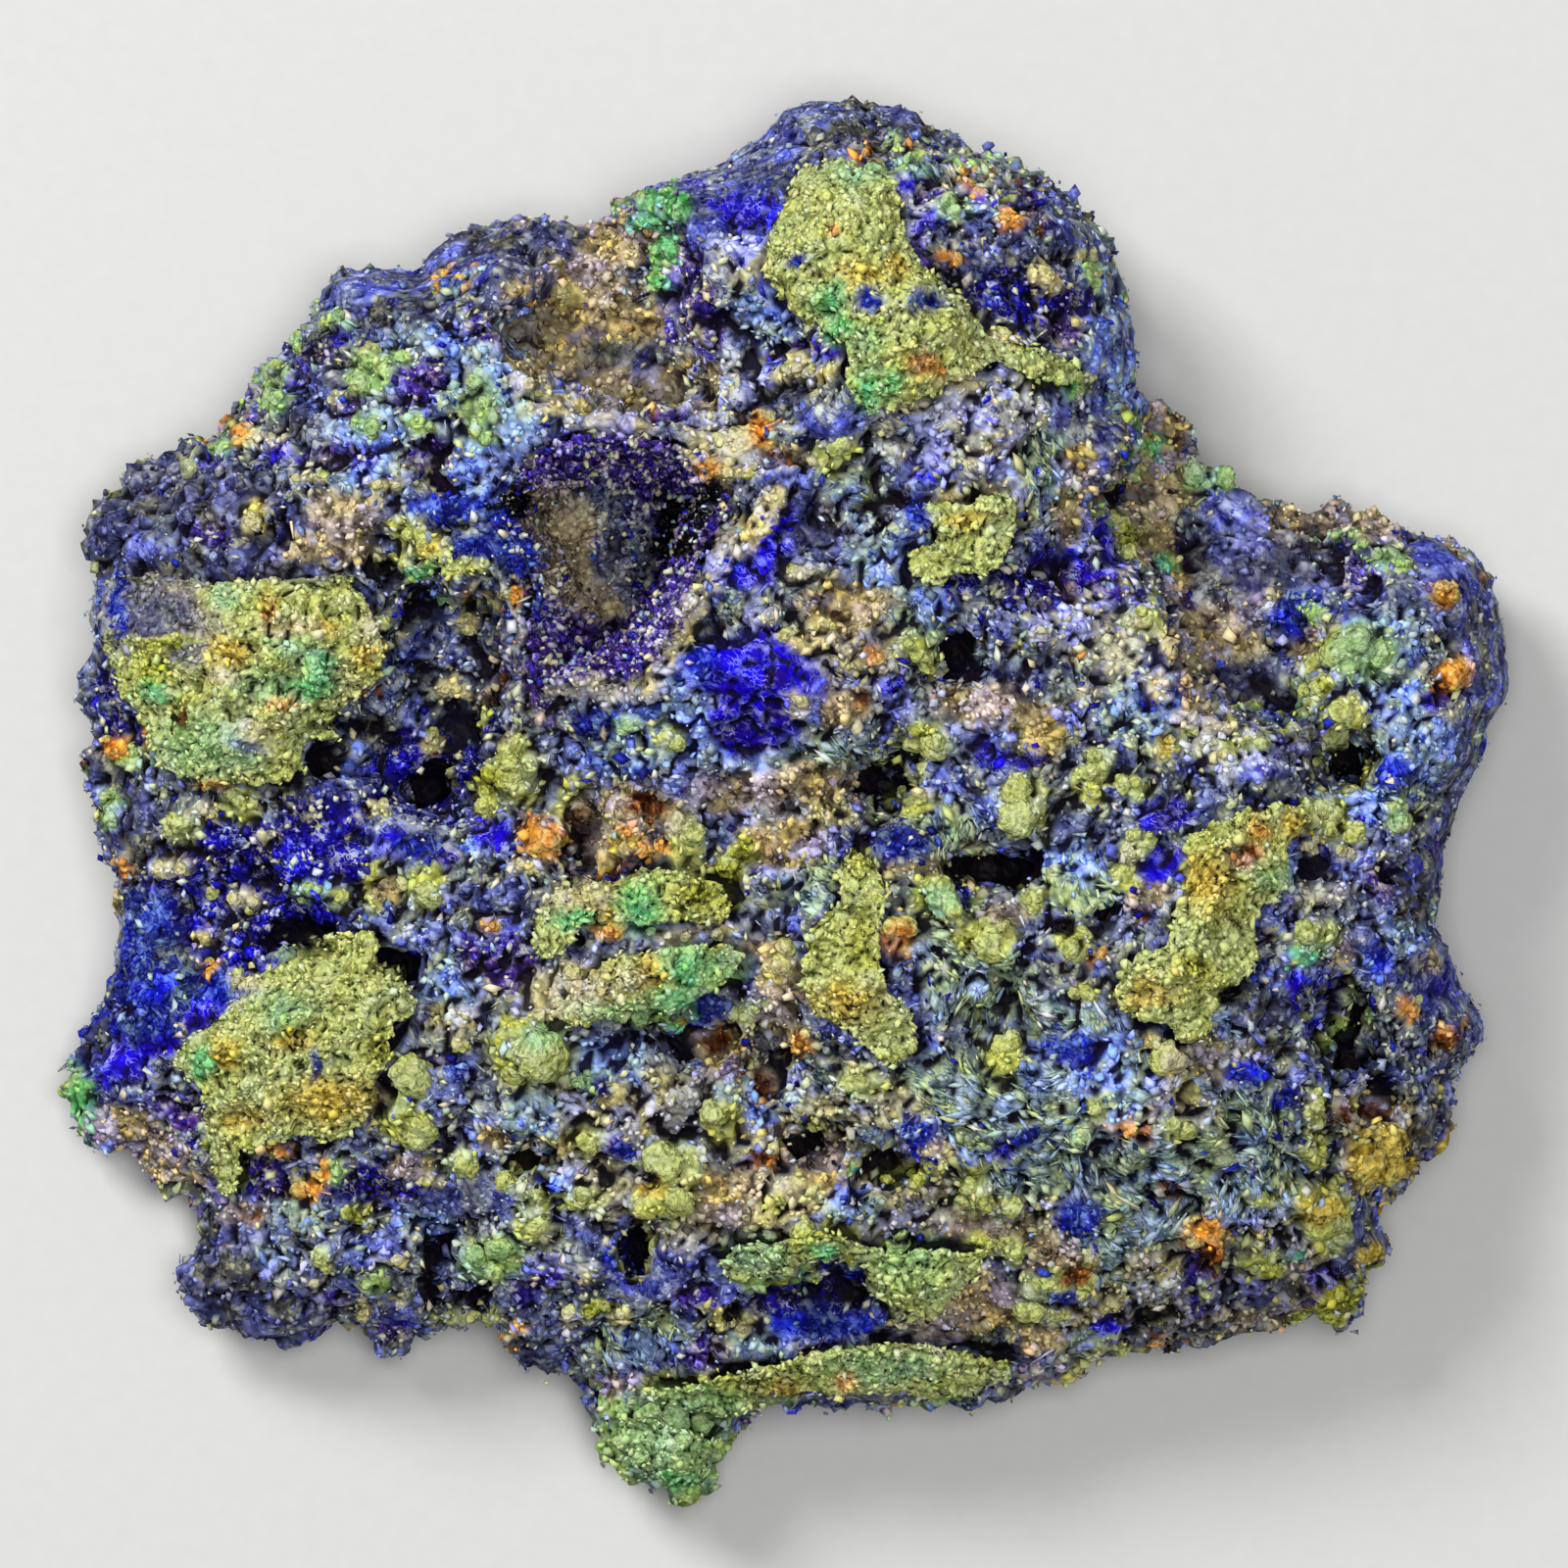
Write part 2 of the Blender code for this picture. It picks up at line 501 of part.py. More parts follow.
def azurite_mass(outline, corners, triangles, rng):
    """The mass: the front closed by the back along the outline."""
    bm = bmesh.new()
    add_sheet(bm, corners, triangles)
    rows = [row[i::2] for i, row in enumerate(rows_inside(outline, BACK_ROWS))]
    points, _ = lattice(BACK_GRAIN, outline.min(axis=0), outline.max(axis=0), rng)
    kept = outline
    for points, spacing in ((np.vstack(rows), 1.2), (points, 0.55 * BACK_GRAIN)):
        points = points[is_inside(points, outline)]
        kept = np.vstack((kept, points[spaced(points, kept, spacing)]))
    free = kept[len(outline):]
    flat, _, triangles = sheet([outline], free, np.zeros(len(free)))
    add_sheet(bm, np.column_stack((flat, back(flat, outline))), triangles)
    bmesh.ops.remove_doubles(bm, verts=bm.verts, dist=1e-3)
    return place("azurite_mass", bm, AZURITE)


def crust(name, loop, flat, crystals, corners, triangles, thickness, grain, look, rng):
    """A crust grown from the front's own faces inside a border, lifted clear of them by the gap."""
    middles = flat[np.array(triangles)].mean(axis=1)
    covered = [t for t, inner in zip(triangles, is_inside(middles, loop)) if inner]
    bm = bmesh.new()
    bed = add_sheet(bm, corners, covered)
    bm.normal_update()
    inset = reach(flat, loop)
    full = CRUST_EDGE + (thickness - CRUST_EDGE) * rounded(inset / CRUST_ROUND)
    grains = grain * (crystals / CRYSTAL + rng.uniform(-0.2, 0.3, len(flat)))
    grains *= np.clip(inset / CRUST_ROUND, 0, 1)
    layer = bm.verts.layers.int.new("corner")
    normals = [vert.normal.copy() for vert in bm.verts]
    for i, vert in enumerate(bm.verts):
        vert[layer] = i
        vert.co.z += GAP / max(vert.normal.z, STEEPEST)
    grown = bmesh.ops.extrude_face_region(bm, geom=bed, use_keep_orig=True)
    for vert in [v for v in grown["geom"] if isinstance(v, bmesh.types.BMVert)]:
        i = vert[layer]
        vert.co.z += full[i] / max(normals[i].z, STEEPEST)
        vert.co += normals[i] * grains[i]
    bmesh.ops.delete(bm, geom=[v for v in bm.verts if not v.link_faces], context="VERTS")
    return place(name, bm, look)


def build():
    """Model every piece of the specimen."""
    clear_scene()
    rng = np.random.default_rng(SEED)
    outline = closed(centred(LOBES))
    vug = closed(VUG)
    borders = [closed(loop) for loop, _, _ in CRUSTS.values()] + [vug]
    flat, crystals, triangles = sheet([outline] + borders, *front_points(outline, borders, rng))
    corners = grown_front(flat, crystals, triangles, outline, borders)
    azurite_mass(outline, corners, triangles, rng)
    for name, (loop, thickness, grain) in CRUSTS.items():
        crust(name, closed(loop), flat, crystals, corners, triangles, thickness, grain, MALACHITE, rng)
    crust("vug_druse", vug, flat, crystals, corners, triangles, *DRUSE, DRUSE_BLUE, rng)


build()
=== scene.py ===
# %% [markdown]
# # An azurite and malachite specimen
#
# The specimen is one lump of blue azurite that malachite, brown rock and rusty limonite have
# grown over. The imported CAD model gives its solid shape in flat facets. This lesson dresses that
# shape: it makes the lump dense and rough, grows the green crusts, scatters tens of thousands of
# small crystals, and gives all of it materials made of nodes. The first cell only loads the
# frame, and keeps its box so that the finished look can be measured against it. Chance gets a
# seed in two places: NumPy's draws, and Blender's noise vectors, which follow the clock unless
# they are seeded. So every run gives the same specimen.

# %% Load the frame
import json
import bmesh
import bpy
import numpy as np
from mathutils import Matrix, Vector, noise
from mathutils.bvhtree import BVHTree
from mathutils.kdtree import KDTree

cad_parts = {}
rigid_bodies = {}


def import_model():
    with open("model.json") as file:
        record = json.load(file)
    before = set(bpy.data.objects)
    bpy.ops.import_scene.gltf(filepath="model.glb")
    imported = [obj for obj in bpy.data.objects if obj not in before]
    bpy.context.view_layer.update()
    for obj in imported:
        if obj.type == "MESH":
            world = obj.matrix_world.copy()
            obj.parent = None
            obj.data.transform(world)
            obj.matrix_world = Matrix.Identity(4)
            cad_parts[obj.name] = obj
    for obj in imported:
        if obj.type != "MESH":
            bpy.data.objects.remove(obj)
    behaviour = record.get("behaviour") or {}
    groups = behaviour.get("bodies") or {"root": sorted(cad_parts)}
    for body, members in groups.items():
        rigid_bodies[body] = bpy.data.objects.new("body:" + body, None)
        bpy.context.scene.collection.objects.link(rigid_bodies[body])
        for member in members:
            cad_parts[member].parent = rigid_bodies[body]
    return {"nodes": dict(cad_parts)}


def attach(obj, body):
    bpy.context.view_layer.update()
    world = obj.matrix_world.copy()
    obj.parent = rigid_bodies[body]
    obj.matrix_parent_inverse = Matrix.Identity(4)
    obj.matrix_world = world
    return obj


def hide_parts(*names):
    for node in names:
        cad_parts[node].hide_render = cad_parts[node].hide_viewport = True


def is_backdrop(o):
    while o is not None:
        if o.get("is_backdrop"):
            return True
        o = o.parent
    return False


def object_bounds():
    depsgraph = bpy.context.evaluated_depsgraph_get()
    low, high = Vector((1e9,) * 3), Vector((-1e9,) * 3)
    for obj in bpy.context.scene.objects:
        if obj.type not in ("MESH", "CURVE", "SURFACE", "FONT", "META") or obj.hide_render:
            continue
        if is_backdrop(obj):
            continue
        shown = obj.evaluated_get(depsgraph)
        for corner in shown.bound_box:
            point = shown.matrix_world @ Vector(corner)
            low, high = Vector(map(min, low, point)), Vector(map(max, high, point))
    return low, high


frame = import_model()
cad_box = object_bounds()
MM = 0.001
SEED = 11
rng = np.random.default_rng(SEED)
noise.seed_set(SEED)
print("nodes:", ", ".join(sorted(frame["nodes"])))

# %% [markdown]
# ## Where the minerals lie
#
# A specimen like this has no pattern to compute: each patch of royal blue or lime green grew
# where it did. So the patches are listed one by one, as ellipses: the middle, then half the width
# and half the height. They are counted in steps of a sixteenth of a millimetre, right and down
# from the top left corner of what the camera sees, and the last lines turn them into
# millimetres from the lump's middle. The mouths of the pits get painted shade: only their core
# is black, so the broad ones are drawn in. The groups are painted in the order of the table, so a
# later mineral lies on an earlier one. Everything that isn't listed is slate-blue azurite.
# Painting in words like these is easier to change than painting on a picture, and it works on
# any mesh, because a patch is only a question asked of a point: are you inside me?

# %% Patches of each mineral
STEPS = 16               # to a millimetre
MIDDLE = (801.5, 819)    # the step that lies over the origin
CORE = 0.78              # share of a pit's mouth that gets its black painted shade
SLIT = 9                 # steps, the half width up to which a mouth is a slit
PATCHES = {
    "violet": [(660, 1310, 40, 20), (395, 290, 56, 22), (95, 562, 12, 8), (470, 262, 55, 28),
        (535, 290, 45, 22), (445, 250, 30, 20), (500, 270, 40, 25), (740, 190, 48, 28), (775, 170, 50, 32),
        (720, 240, 24, 38), (760, 140, 45, 18), (815, 108, 40, 24), (845, 95, 35, 14), (920, 103, 28, 15),
        (770, 285, 14, 16), (840, 432, 26, 18), (862, 452, 16, 12), (1130, 320, 26, 60),
        (1135, 400, 26, 70), (1120, 460, 26, 40), (1090, 440, 16, 26), (1145, 360, 16, 60),
        (1480, 575, 55, 34), (1440, 590, 40, 25), (1515, 640, 30, 60), (1530, 695, 24, 44),
        (1500, 760, 28, 44), (1490, 820, 24, 44), (1475, 880, 20, 44), (1468, 930, 16, 40),
        (1480, 1005, 34, 30), (1500, 1050, 25, 30), (1095, 235, 34, 16), (1165, 590, 18, 34),
        (1185, 655, 10, 34), (1200, 700, 16, 16), (1260, 512, 30, 16), (1240, 520, 16, 14),
        (1282, 530, 22, 14), (1375, 625, 22, 14), (1445, 585, 30, 20), (320, 870, 36, 30),
        (335, 825, 34, 28), (350, 885, 40, 24), (150, 560, 28, 18), (165, 1175, 18, 14), (95, 1165, 18, 14),
        (300, 1362, 28, 14), (395, 1350, 28, 20), (485, 1220, 48, 20), (600, 1302, 36, 16),
        (620, 1322, 50, 16), (815, 1122, 16, 16), (600, 975, 18, 14), (1280, 785, 28, 12),
        (905, 1425, 26, 14), (1155, 1220, 14, 16), (1465, 1140, 12, 12), (1385, 1245, 30, 18),
        (1405, 1265, 26, 20), (700, 1282, 16, 12), (790, 495, 20, 16), (1180, 585, 14, 20),
        (1000, 265, 34, 26), (1060, 230, 25, 20), (430, 840, 30, 16)],
    "lavender": [(635, 1130, 26, 26), (560, 1300, 50, 20), (690, 1260, 26, 20), (990, 440, 90, 42),
        (930, 420, 45, 22), (1040, 420, 40, 60), (1000, 370, 28, 22), (600, 435, 55, 13),
        (650, 448, 38, 13), (720, 430, 38, 15), (570, 440, 28, 13), (525, 640, 18, 24), (525, 690, 16, 34),
        (755, 265, 26, 26), (1070, 640, 34, 22), (1130, 640, 60, 55), (1350, 908, 44, 15),
        (1250, 760, 55, 28), (1230, 745, 45, 20), (745, 385, 40, 24), (960, 215, 38, 26),
        (1450, 720, 40, 30), (1090, 700, 40, 14), (1125, 740, 30, 16), (480, 720, 50, 18),
        (410, 770, 40, 20)],
    "teal": [(1420, 790, 32, 46), (975, 172, 28, 20), (1380, 1030, 10, 26), (1100, 1180, 100, 70),
        (1230, 1150, 80, 60), (1050, 1130, 50, 55), (1150, 1290, 60, 44), (1280, 1200, 50, 44),
        (950, 640, 38, 28), (1000, 1000, 55, 44), (1070, 480, 32, 44), (865, 500, 26, 18),
        (840, 1108, 18, 12), (730, 1110, 22, 15), (900, 1235, 34, 24), (990, 1385, 28, 22),
        (650, 1365, 55, 28), (790, 1380, 16, 14), (1100, 905, 44, 26), (960, 845, 44, 28),
        (1170, 1240, 60, 40), (830, 900, 38, 28), (1100, 1375, 16, 14), (265, 1282, 22, 14),
        (1090, 1050, 60, 30), (950, 960, 30, 20), (1020, 1060, 30, 20), (850, 780, 60, 30),
        (460, 1000, 28, 26), (1260, 1040, 24, 16), (970, 1110, 60, 40), (1000, 1150, 50, 40),
        (560, 1140, 30, 26)],
    "drab": [(160, 620, 60, 36), (195, 655, 36, 26), (130, 650, 20, 30), (650, 1125, 90, 40),
        (760, 1130, 80, 40), (880, 1140, 70, 40), (620, 1205, 60, 50), (760, 1230, 80, 40),
        (840, 1180, 60, 40), (960, 1250, 90, 40), (1100, 1335, 100, 26), (1240, 1335, 80, 30),
        (1310, 1280, 50, 40), (960, 1345, 60, 26), (900, 1210, 60, 30), (560, 1170, 40, 30),
        (1200, 1130, 40, 30), (1250, 1080, 40, 26), (1060, 1240, 50, 24), (1180, 1290, 40, 20),
        (1140, 1130, 30, 22), (900, 600, 60, 24), (870, 660, 50, 30), (1000, 520, 50, 24),
        (820, 830, 50, 24), (780, 1060, 50, 30), (1010, 880, 40, 24), (1420, 1140, 50, 30),
        (560, 1010, 40, 24), (460, 1040, 30, 20)],
    "tan": [(600, 330, 60, 34), (680, 360, 40, 22), (560, 300, 40, 24), (1290, 600, 36, 24),
        (1350, 655, 36, 22), (600, 250, 46, 46), (650, 245, 32, 22), (700, 178, 44, 14), (600, 300, 52, 26),
        (640, 330, 52, 22), (860, 620, 44, 26), (850, 720, 34, 22), (890, 668, 20, 18), (1060, 740, 24, 44),
        (1190, 430, 38, 44), (1190, 400, 30, 16), (1340, 530, 52, 15), (1410, 530, 38, 22),
        (1240, 655, 52, 46), (1240, 712, 44, 20), (800, 1005, 34, 24), (740, 1220, 34, 34),
        (850, 1190, 28, 22), (780, 970, 24, 12), (1100, 480, 18, 28), (1090, 530, 16, 28),
        (1170, 905, 22, 22), (1060, 1415, 28, 18), (1100, 1400, 18, 12), (1065, 1280, 30, 24),
        (1090, 1290, 28, 18), (1000, 1330, 44, 30), (1310, 1340, 44, 20), (520, 345, 30, 26),
        (1200, 600, 14, 24), (810, 800, 60, 22), (740, 810, 44, 22), (1000, 720, 50, 24),
        (500, 1160, 14, 12), (1455, 975, 18, 14), (860, 1000, 14, 14), (800, 860, 50, 26),
        (945, 1170, 30, 16), (1010, 1250, 44, 22), (1370, 970, 18, 12), (1255, 1095, 30, 10)],
    "frost": [(430, 1250, 30, 18), (520, 1292, 26, 16), (560, 1210, 24, 14), (1136, 300, 14, 40),
        (1136, 400, 14, 30), (498, 610, 14, 36), (470, 700, 20, 14), (755, 1115, 30, 18),
        (905, 1160, 30, 14), (610, 1085, 50, 24), (430, 350, 38, 20), (480, 358, 28, 14),
        (500, 400, 48, 38), (530, 432, 46, 36), (420, 440, 30, 22), (470, 462, 32, 16), (480, 500, 32, 30),
        (555, 430, 46, 22), (780, 318, 32, 22), (790, 345, 25, 12), (790, 520, 16, 22), (762, 545, 26, 12),
        (740, 590, 26, 30), (680, 655, 14, 30), (640, 702, 62, 20), (760, 775, 34, 15), (820, 725, 12, 18),
        (870, 540, 22, 14), (1115, 320, 14, 56), (1115, 270, 20, 20), (1160, 735, 44, 22),
        (1150, 710, 22, 16), (1420, 650, 32, 34), (1430, 720, 32, 32), (1450, 770, 44, 42),
        (1385, 820, 22, 30), (1130, 1100, 48, 36), (485, 860, 12, 28), (370, 780, 25, 20),
        (540, 1140, 28, 28), (760, 1370, 22, 15), (870, 1230, 30, 18), (1000, 230, 30, 20),
        (700, 745, 60, 30), (640, 770, 50, 20), (920, 575, 60, 30), (960, 600, 50, 24), (300, 1240, 34, 20),
        (380, 440, 30, 20), (370, 475, 34, 26), (395, 380, 34, 26), (1440, 950, 30, 26), (285, 680, 22, 9),
        (450, 1000, 20, 18), (330, 430, 24, 14), (780, 1120, 30, 24), (1055, 680, 30, 20),
        (1085, 880, 34, 18)],
    "royal": [(745, 210, 27, 10), (775, 220, 24, 17), (758, 226, 22, 11), (797, 535, 18, 20),
        (778, 565, 32, 20), (762, 588, 32, 14), (775, 650, 12, 16), (740, 682, 46, 30), (792, 692, 50, 34),
        (770, 732, 50, 32), (760, 762, 24, 14), (945, 490, 16, 8), (1005, 760, 14, 15), (910, 700, 16, 7),
        (1185, 833, 28, 17), (1185, 880, 27, 18), (200, 932, 40, 16), (250, 965, 34, 18),
        (180, 1037, 64, 20), (130, 1020, 40, 15), (290, 932, 32, 20), (400, 862, 22, 12),
        (455, 870, 16, 15), (500, 842, 22, 22), (385, 1200, 38, 18), (415, 1216, 20, 11),
        (800, 1318, 52, 22), (860, 1292, 27, 22), (332, 1328, 16, 8), (398, 1365, 24, 12),
        (1020, 1175, 15, 13), (1130, 1355, 13, 11), (1445, 1087, 15, 18), (1400, 1105, 30, 13),
        (1322, 1010, 12, 26), (1465, 714, 16, 10), (1475, 1008, 16, 12), (1080, 577, 34, 16),
        (1110, 590, 40, 16), (425, 385, 20, 8), (285, 458, 16, 10), (345, 340, 12, 11), (240, 875, 70, 20),
        (470, 762, 18, 24), (110, 1090, 40, 26), (150, 1065, 30, 16), (1105, 1075, 16, 12),
        (1035, 775, 32, 8), (855, 365, 10, 8), (925, 185, 14, 14), (955, 228, 22, 9)],
    "deep": [(325, 363, 14, 15), (290, 390, 24, 13), (225, 425, 14, 13), (255, 413, 20, 15),
        (215, 475, 15, 8), (430, 385, 30, 14), (425, 405, 20, 13), (440, 465, 24, 15), (455, 495, 15, 11),
        (350, 418, 20, 12), (365, 465, 22, 9), (335, 470, 32, 8), (492, 337, 13, 11), (215, 545, 25, 17),
        (130, 490, 16, 9), (705, 280, 13, 32), (705, 330, 24, 30), (727, 342, 18, 24), (715, 310, 16, 26),
        (815, 362, 32, 9), (600, 480, 60, 44), (650, 480, 34, 32), (692, 492, 22, 16), (600, 530, 64, 44),
        (640, 580, 64, 44), (600, 640, 60, 52), (645, 650, 50, 42), (690, 612, 22, 44), (560, 700, 24, 40),
        (945, 200, 12, 9), (1005, 200, 15, 10), (1040, 202, 28, 9), (990, 197, 7, 7), (1070, 215, 24, 22),
        (940, 258, 28, 26), (1030, 300, 44, 26), (1050, 322, 34, 14), (1080, 310, 34, 20),
        (1085, 342, 22, 16), (1375, 570, 16, 24), (1390, 592, 22, 14), (480, 690, 50, 30),
        (190, 1135, 28, 17), (165, 1125, 15, 11), (205, 1222, 15, 26), (270, 1202, 24, 22),
        (330, 1332, 28, 9), (560, 1320, 34, 26), (710, 1322, 22, 15), (510, 980, 40, 34),
        (1010, 630, 24, 22), (1355, 1308, 18, 15), (1400, 1120, 24, 14), (895, 155, 22, 12),
        (915, 132, 16, 6), (1060, 600, 40, 24), (1140, 600, 30, 16), (1230, 1300, 24, 40),
        (440, 1085, 16, 7), (720, 1380, 26, 18), (1410, 900, 20, 20), (620, 1425, 24, 24),
        (390, 1368, 24, 12)],
    "indigo": [(860, 125, 16, 9), (905, 162, 16, 9), (945, 140, 12, 10), (430, 760, 44, 20),
        (850, 1315, 50, 24), (110, 688, 22, 32), (115, 742, 24, 26), (240, 870, 95, 42), (200, 902, 52, 30),
        (250, 945, 76, 44), (320, 880, 56, 50), (330, 850, 50, 40), (420, 790, 60, 34), (470, 750, 30, 36),
        (300, 940, 50, 40), (225, 900, 60, 40), (465, 790, 24, 22), (130, 1010, 30, 40),
        (380, 1210, 50, 22), (840, 1300, 66, 34), (1010, 600, 50, 30), (1040, 300, 60, 30)],
    "starry": [(440, 620, 40, 34), (475, 720, 36, 30), (618, 583, 18, 26), (608, 520, 34, 26),
        (655, 560, 14, 40), (850, 152, 30, 16), (930, 150, 26, 14), (880, 130, 60, 24), (590, 1330, 50, 24),
        (450, 600, 60, 44), (470, 660, 56, 40), (440, 700, 56, 36), (490, 740, 36, 30), (420, 640, 40, 40),
        (1010, 640, 50, 40), (1070, 690, 40, 30), (1430, 1100, 50, 26), (980, 250, 40, 30),
        (1060, 260, 36, 24), (560, 940, 40, 24), (1040, 860, 30, 20)],
    "lime": [(180, 475, 20, 20), (415, 540, 22, 12), (442, 560, 26, 12), (472, 580, 26, 10),
        (400, 575, 20, 12), (845, 470, 20, 18), (862, 460, 13, 9), (870, 145, 15, 9), (1015, 165, 17, 20),
        (1165, 460, 20, 11), (1135, 537, 17, 17), (1147, 558, 15, 14), (525, 790, 28, 38),
        (500, 820, 16, 14), (430, 902, 26, 24), (385, 905, 9, 28), (245, 820, 20, 18), (185, 845, 20, 14),
        (935, 663, 13, 15), (945, 682, 9, 9), (945, 755, 24, 18), (930, 815, 28, 11), (685, 755, 18, 15),
        (1165, 632, 22, 15), (1210, 737, 15, 12), (1190, 765, 11, 12), (1275, 758, 26, 9),
        (1120, 775, 18, 14), (1110, 802, 18, 22), (1155, 806, 20, 11), (1045, 820, 24, 30),
        (1370, 735, 26, 22), (1365, 660, 18, 22), (1337, 698, 18, 18), (1340, 778, 15, 7),
        (1425, 830, 17, 15), (960, 915, 32, 22), (1005, 955, 32, 21), (1050, 920, 15, 17),
        (1095, 960, 20, 17), (1340, 955, 27, 17), (1345, 830, 30, 16), (1365, 850, 26, 14),
        (1145, 890, 15, 17), (1160, 862, 15, 15), (1375, 1047, 17, 9), (1100, 1012, 18, 10),
        (415, 1110, 20, 22), (415, 1147, 22, 22), (470, 1185, 20, 15), (235, 1195, 15, 24),
        (225, 1165, 20, 20), (525, 1205, 14, 20), (540, 1235, 18, 32), (540, 1070, 44, 36),
        (600, 1160, 15, 12), (735, 1140, 23, 20), (690, 1190, 24, 26), (672, 1226, 32, 20),
        (592, 1226, 26, 12), (760, 1030, 26, 11), (765, 1080, 10, 20), (880, 1105, 26, 17),
        (830, 1147, 11, 9), (1025, 1075, 19, 22), (990, 1215, 18, 26), (1025, 1230, 15, 13),
        (1003, 1270, 18, 11), (1030, 1277, 17, 12), (480, 1350, 30, 8), (327, 1287, 13, 13),
        (1340, 1135, 11, 30), (1340, 1172, 9, 22), (1350, 1232, 32, 26), (1362, 1262, 22, 20),
        (1295, 1290, 27, 13), (1082, 1310, 42, 16), (1060, 1342, 27, 14), (1135, 1380, 17, 9),
        (1232, 1318, 7, 13), (1200, 1150, 15, 15), (1285, 1225, 22, 7), (1020, 1402, 15, 15),
        (790, 1225, 8, 8), (830, 1270, 44, 22), (930, 1295, 44, 34), (770, 1285, 34, 26),
        (1115, 1130, 14, 12), (700, 862, 22, 30), (632, 842, 28, 28), (700, 910, 46, 24),
        (585, 820, 16, 24), (345, 915, 12, 10), (1075, 385, 34, 12), (640, 1180, 12, 10)],
    "umber": [(1310, 560, 30, 16), (160, 620, 60, 34), (195, 652, 36, 24), (568, 560, 44, 62),
        (545, 520, 22, 26), (612, 606, 38, 26), (350, 530, 42, 30), (330, 560, 54, 16), (600, 392, 62, 34),
        (662, 392, 52, 34), (560, 362, 32, 30), (692, 376, 32, 20), (1182, 492, 42, 36),
        (1172, 542, 30, 26), (1190, 560, 16, 20), (395, 910, 13, 18), (640, 830, 66, 30),
        (600, 870, 24, 26), (730, 1060, 28, 16), (740, 1075, 32, 24), (775, 1105, 22, 22),
        (120, 1150, 38, 20), (160, 1182, 32, 26), (172, 1207, 26, 14), (250, 1240, 34, 12),
        (420, 1190, 28, 13), (1040, 930, 14, 12), (1010, 926, 22, 13), (1392, 1132, 38, 18),
        (1220, 1075, 24, 12), (880, 715, 16, 11), (500, 720, 18, 14), (795, 465, 26, 11),
        (790, 1040, 20, 12), (960, 1360, 28, 12), (640, 1418, 28, 16), (1062, 1368, 28, 14),
        (930, 880, 30, 14), (1265, 875, 18, 12), (600, 600, 20, 14), (1230, 570, 14, 14),
        (1325, 1310, 16, 20), (1250, 640, 10, 5), (1235, 690, 14, 5)],
    "ash": [(890, 138, 60, 22), (1512, 650, 16, 46), (1503, 765, 14, 30), (1470, 860, 12, 30),
        (960, 132, 40, 20), (95, 545, 34, 34), (120, 515, 40, 24), (620, 572, 19, 28), (640, 600, 14, 16),
        (500, 238, 62, 20), (560, 240, 36, 22), (410, 318, 42, 15), (150, 480, 42, 28), (210, 505, 64, 22),
        (265, 535, 34, 34), (160, 625, 50, 30), (190, 660, 24, 20), (130, 600, 30, 14), (300, 580, 60, 12),
        (200, 580, 90, 14), (640, 212, 30, 12), (1065, 180, 28, 15), (1270, 572, 74, 36),
        (1330, 575, 52, 32), (1270, 690, 32, 20), (1320, 760, 26, 17), (85, 690, 15, 20),
        (100, 792, 28, 15), (130, 845, 28, 50), (85, 1055, 22, 26), (220, 1300, 50, 52),
        (270, 1350, 60, 30), (540, 1382, 30, 12), (1035, 1430, 44, 14), (1230, 1372, 54, 20),
        (1290, 1320, 54, 22), (1480, 1118, 28, 30), (1452, 1170, 26, 26), (1440, 900, 20, 50),
        (330, 385, 22, 15), (310, 432, 22, 12), (650, 360, 60, 20), (790, 405, 34, 20), (830, 515, 22, 14),
        (440, 1380, 20, 14), (400, 1385, 34, 10), (840, 545, 40, 12), (1385, 1280, 20, 20),
        (905, 1428, 14, 8), (740, 1180, 20, 14), (1280, 1030, 34, 16), (150, 520, 20, 10)],
    "steel": [(1050, 1160, 24, 12), (1090, 1070, 26, 14), (450, 520, 38, 20), (510, 522, 32, 20),
        (500, 555, 46, 15), (532, 572, 22, 20), (140, 952, 44, 44), (160, 1008, 60, 28),
        (220, 1010, 40, 18), (150, 1050, 44, 16), (250, 755, 22, 19), (815, 270, 15, 7), (890, 310, 15, 9),
        (945, 312, 20, 13), (610, 1110, 14, 9), (633, 1172, 15, 15), (935, 1155, 20, 20),
        (1100, 1240, 24, 22), (1270, 1095, 24, 11), (840, 1350, 62, 20), (1330, 622, 32, 26),
        (1085, 1325, 17, 9), (935, 530, 16, 15), (430, 865, 26, 15), (120, 620, 8, 40), (96, 620, 10, 42),
        (920, 860, 32, 20), (1420, 790, 30, 16), (1180, 715, 26, 16), (1410, 980, 18, 18),
        (545, 615, 20, 20), (740, 575, 20, 18), (715, 680, 18, 24), (620, 740, 40, 12), (710, 1030, 32, 20),
        (640, 1280, 30, 20), (465, 1095, 18, 12), (1310, 1115, 14, 12), (322, 1085, 7, 17)],
    "crest": [(772, 634, 20, 7), (820, 661, 18, 8), (655, 703, 24, 14), (670, 684, 15, 13),
        (684, 664, 15, 15), (698, 643, 13, 16), (710, 620, 13, 16), (722, 597, 12, 16), (735, 572, 12, 15),
        (750, 552, 19, 15), (768, 541, 18, 13), (783, 520, 13, 18), (788, 505, 11, 12), (600, 700, 26, 12),
        (628, 708, 22, 12), (812, 588, 14, 9), (575, 706, 14, 9), (838, 655, 26, 7), (800, 470, 8, 12),
        (530, 395, 10, 16), (560, 420, 24, 7), (610, 432, 26, 6), (650, 440, 22, 6), (1210, 735, 18, 7),
        (1180, 700, 8, 20), (1240, 742, 24, 6), (1195, 665, 6, 16)],
    "olive": [(655, 1500, 16, 12), (702, 1462, 16, 12), (1215, 985, 24, 18), (1245, 905, 18, 26),
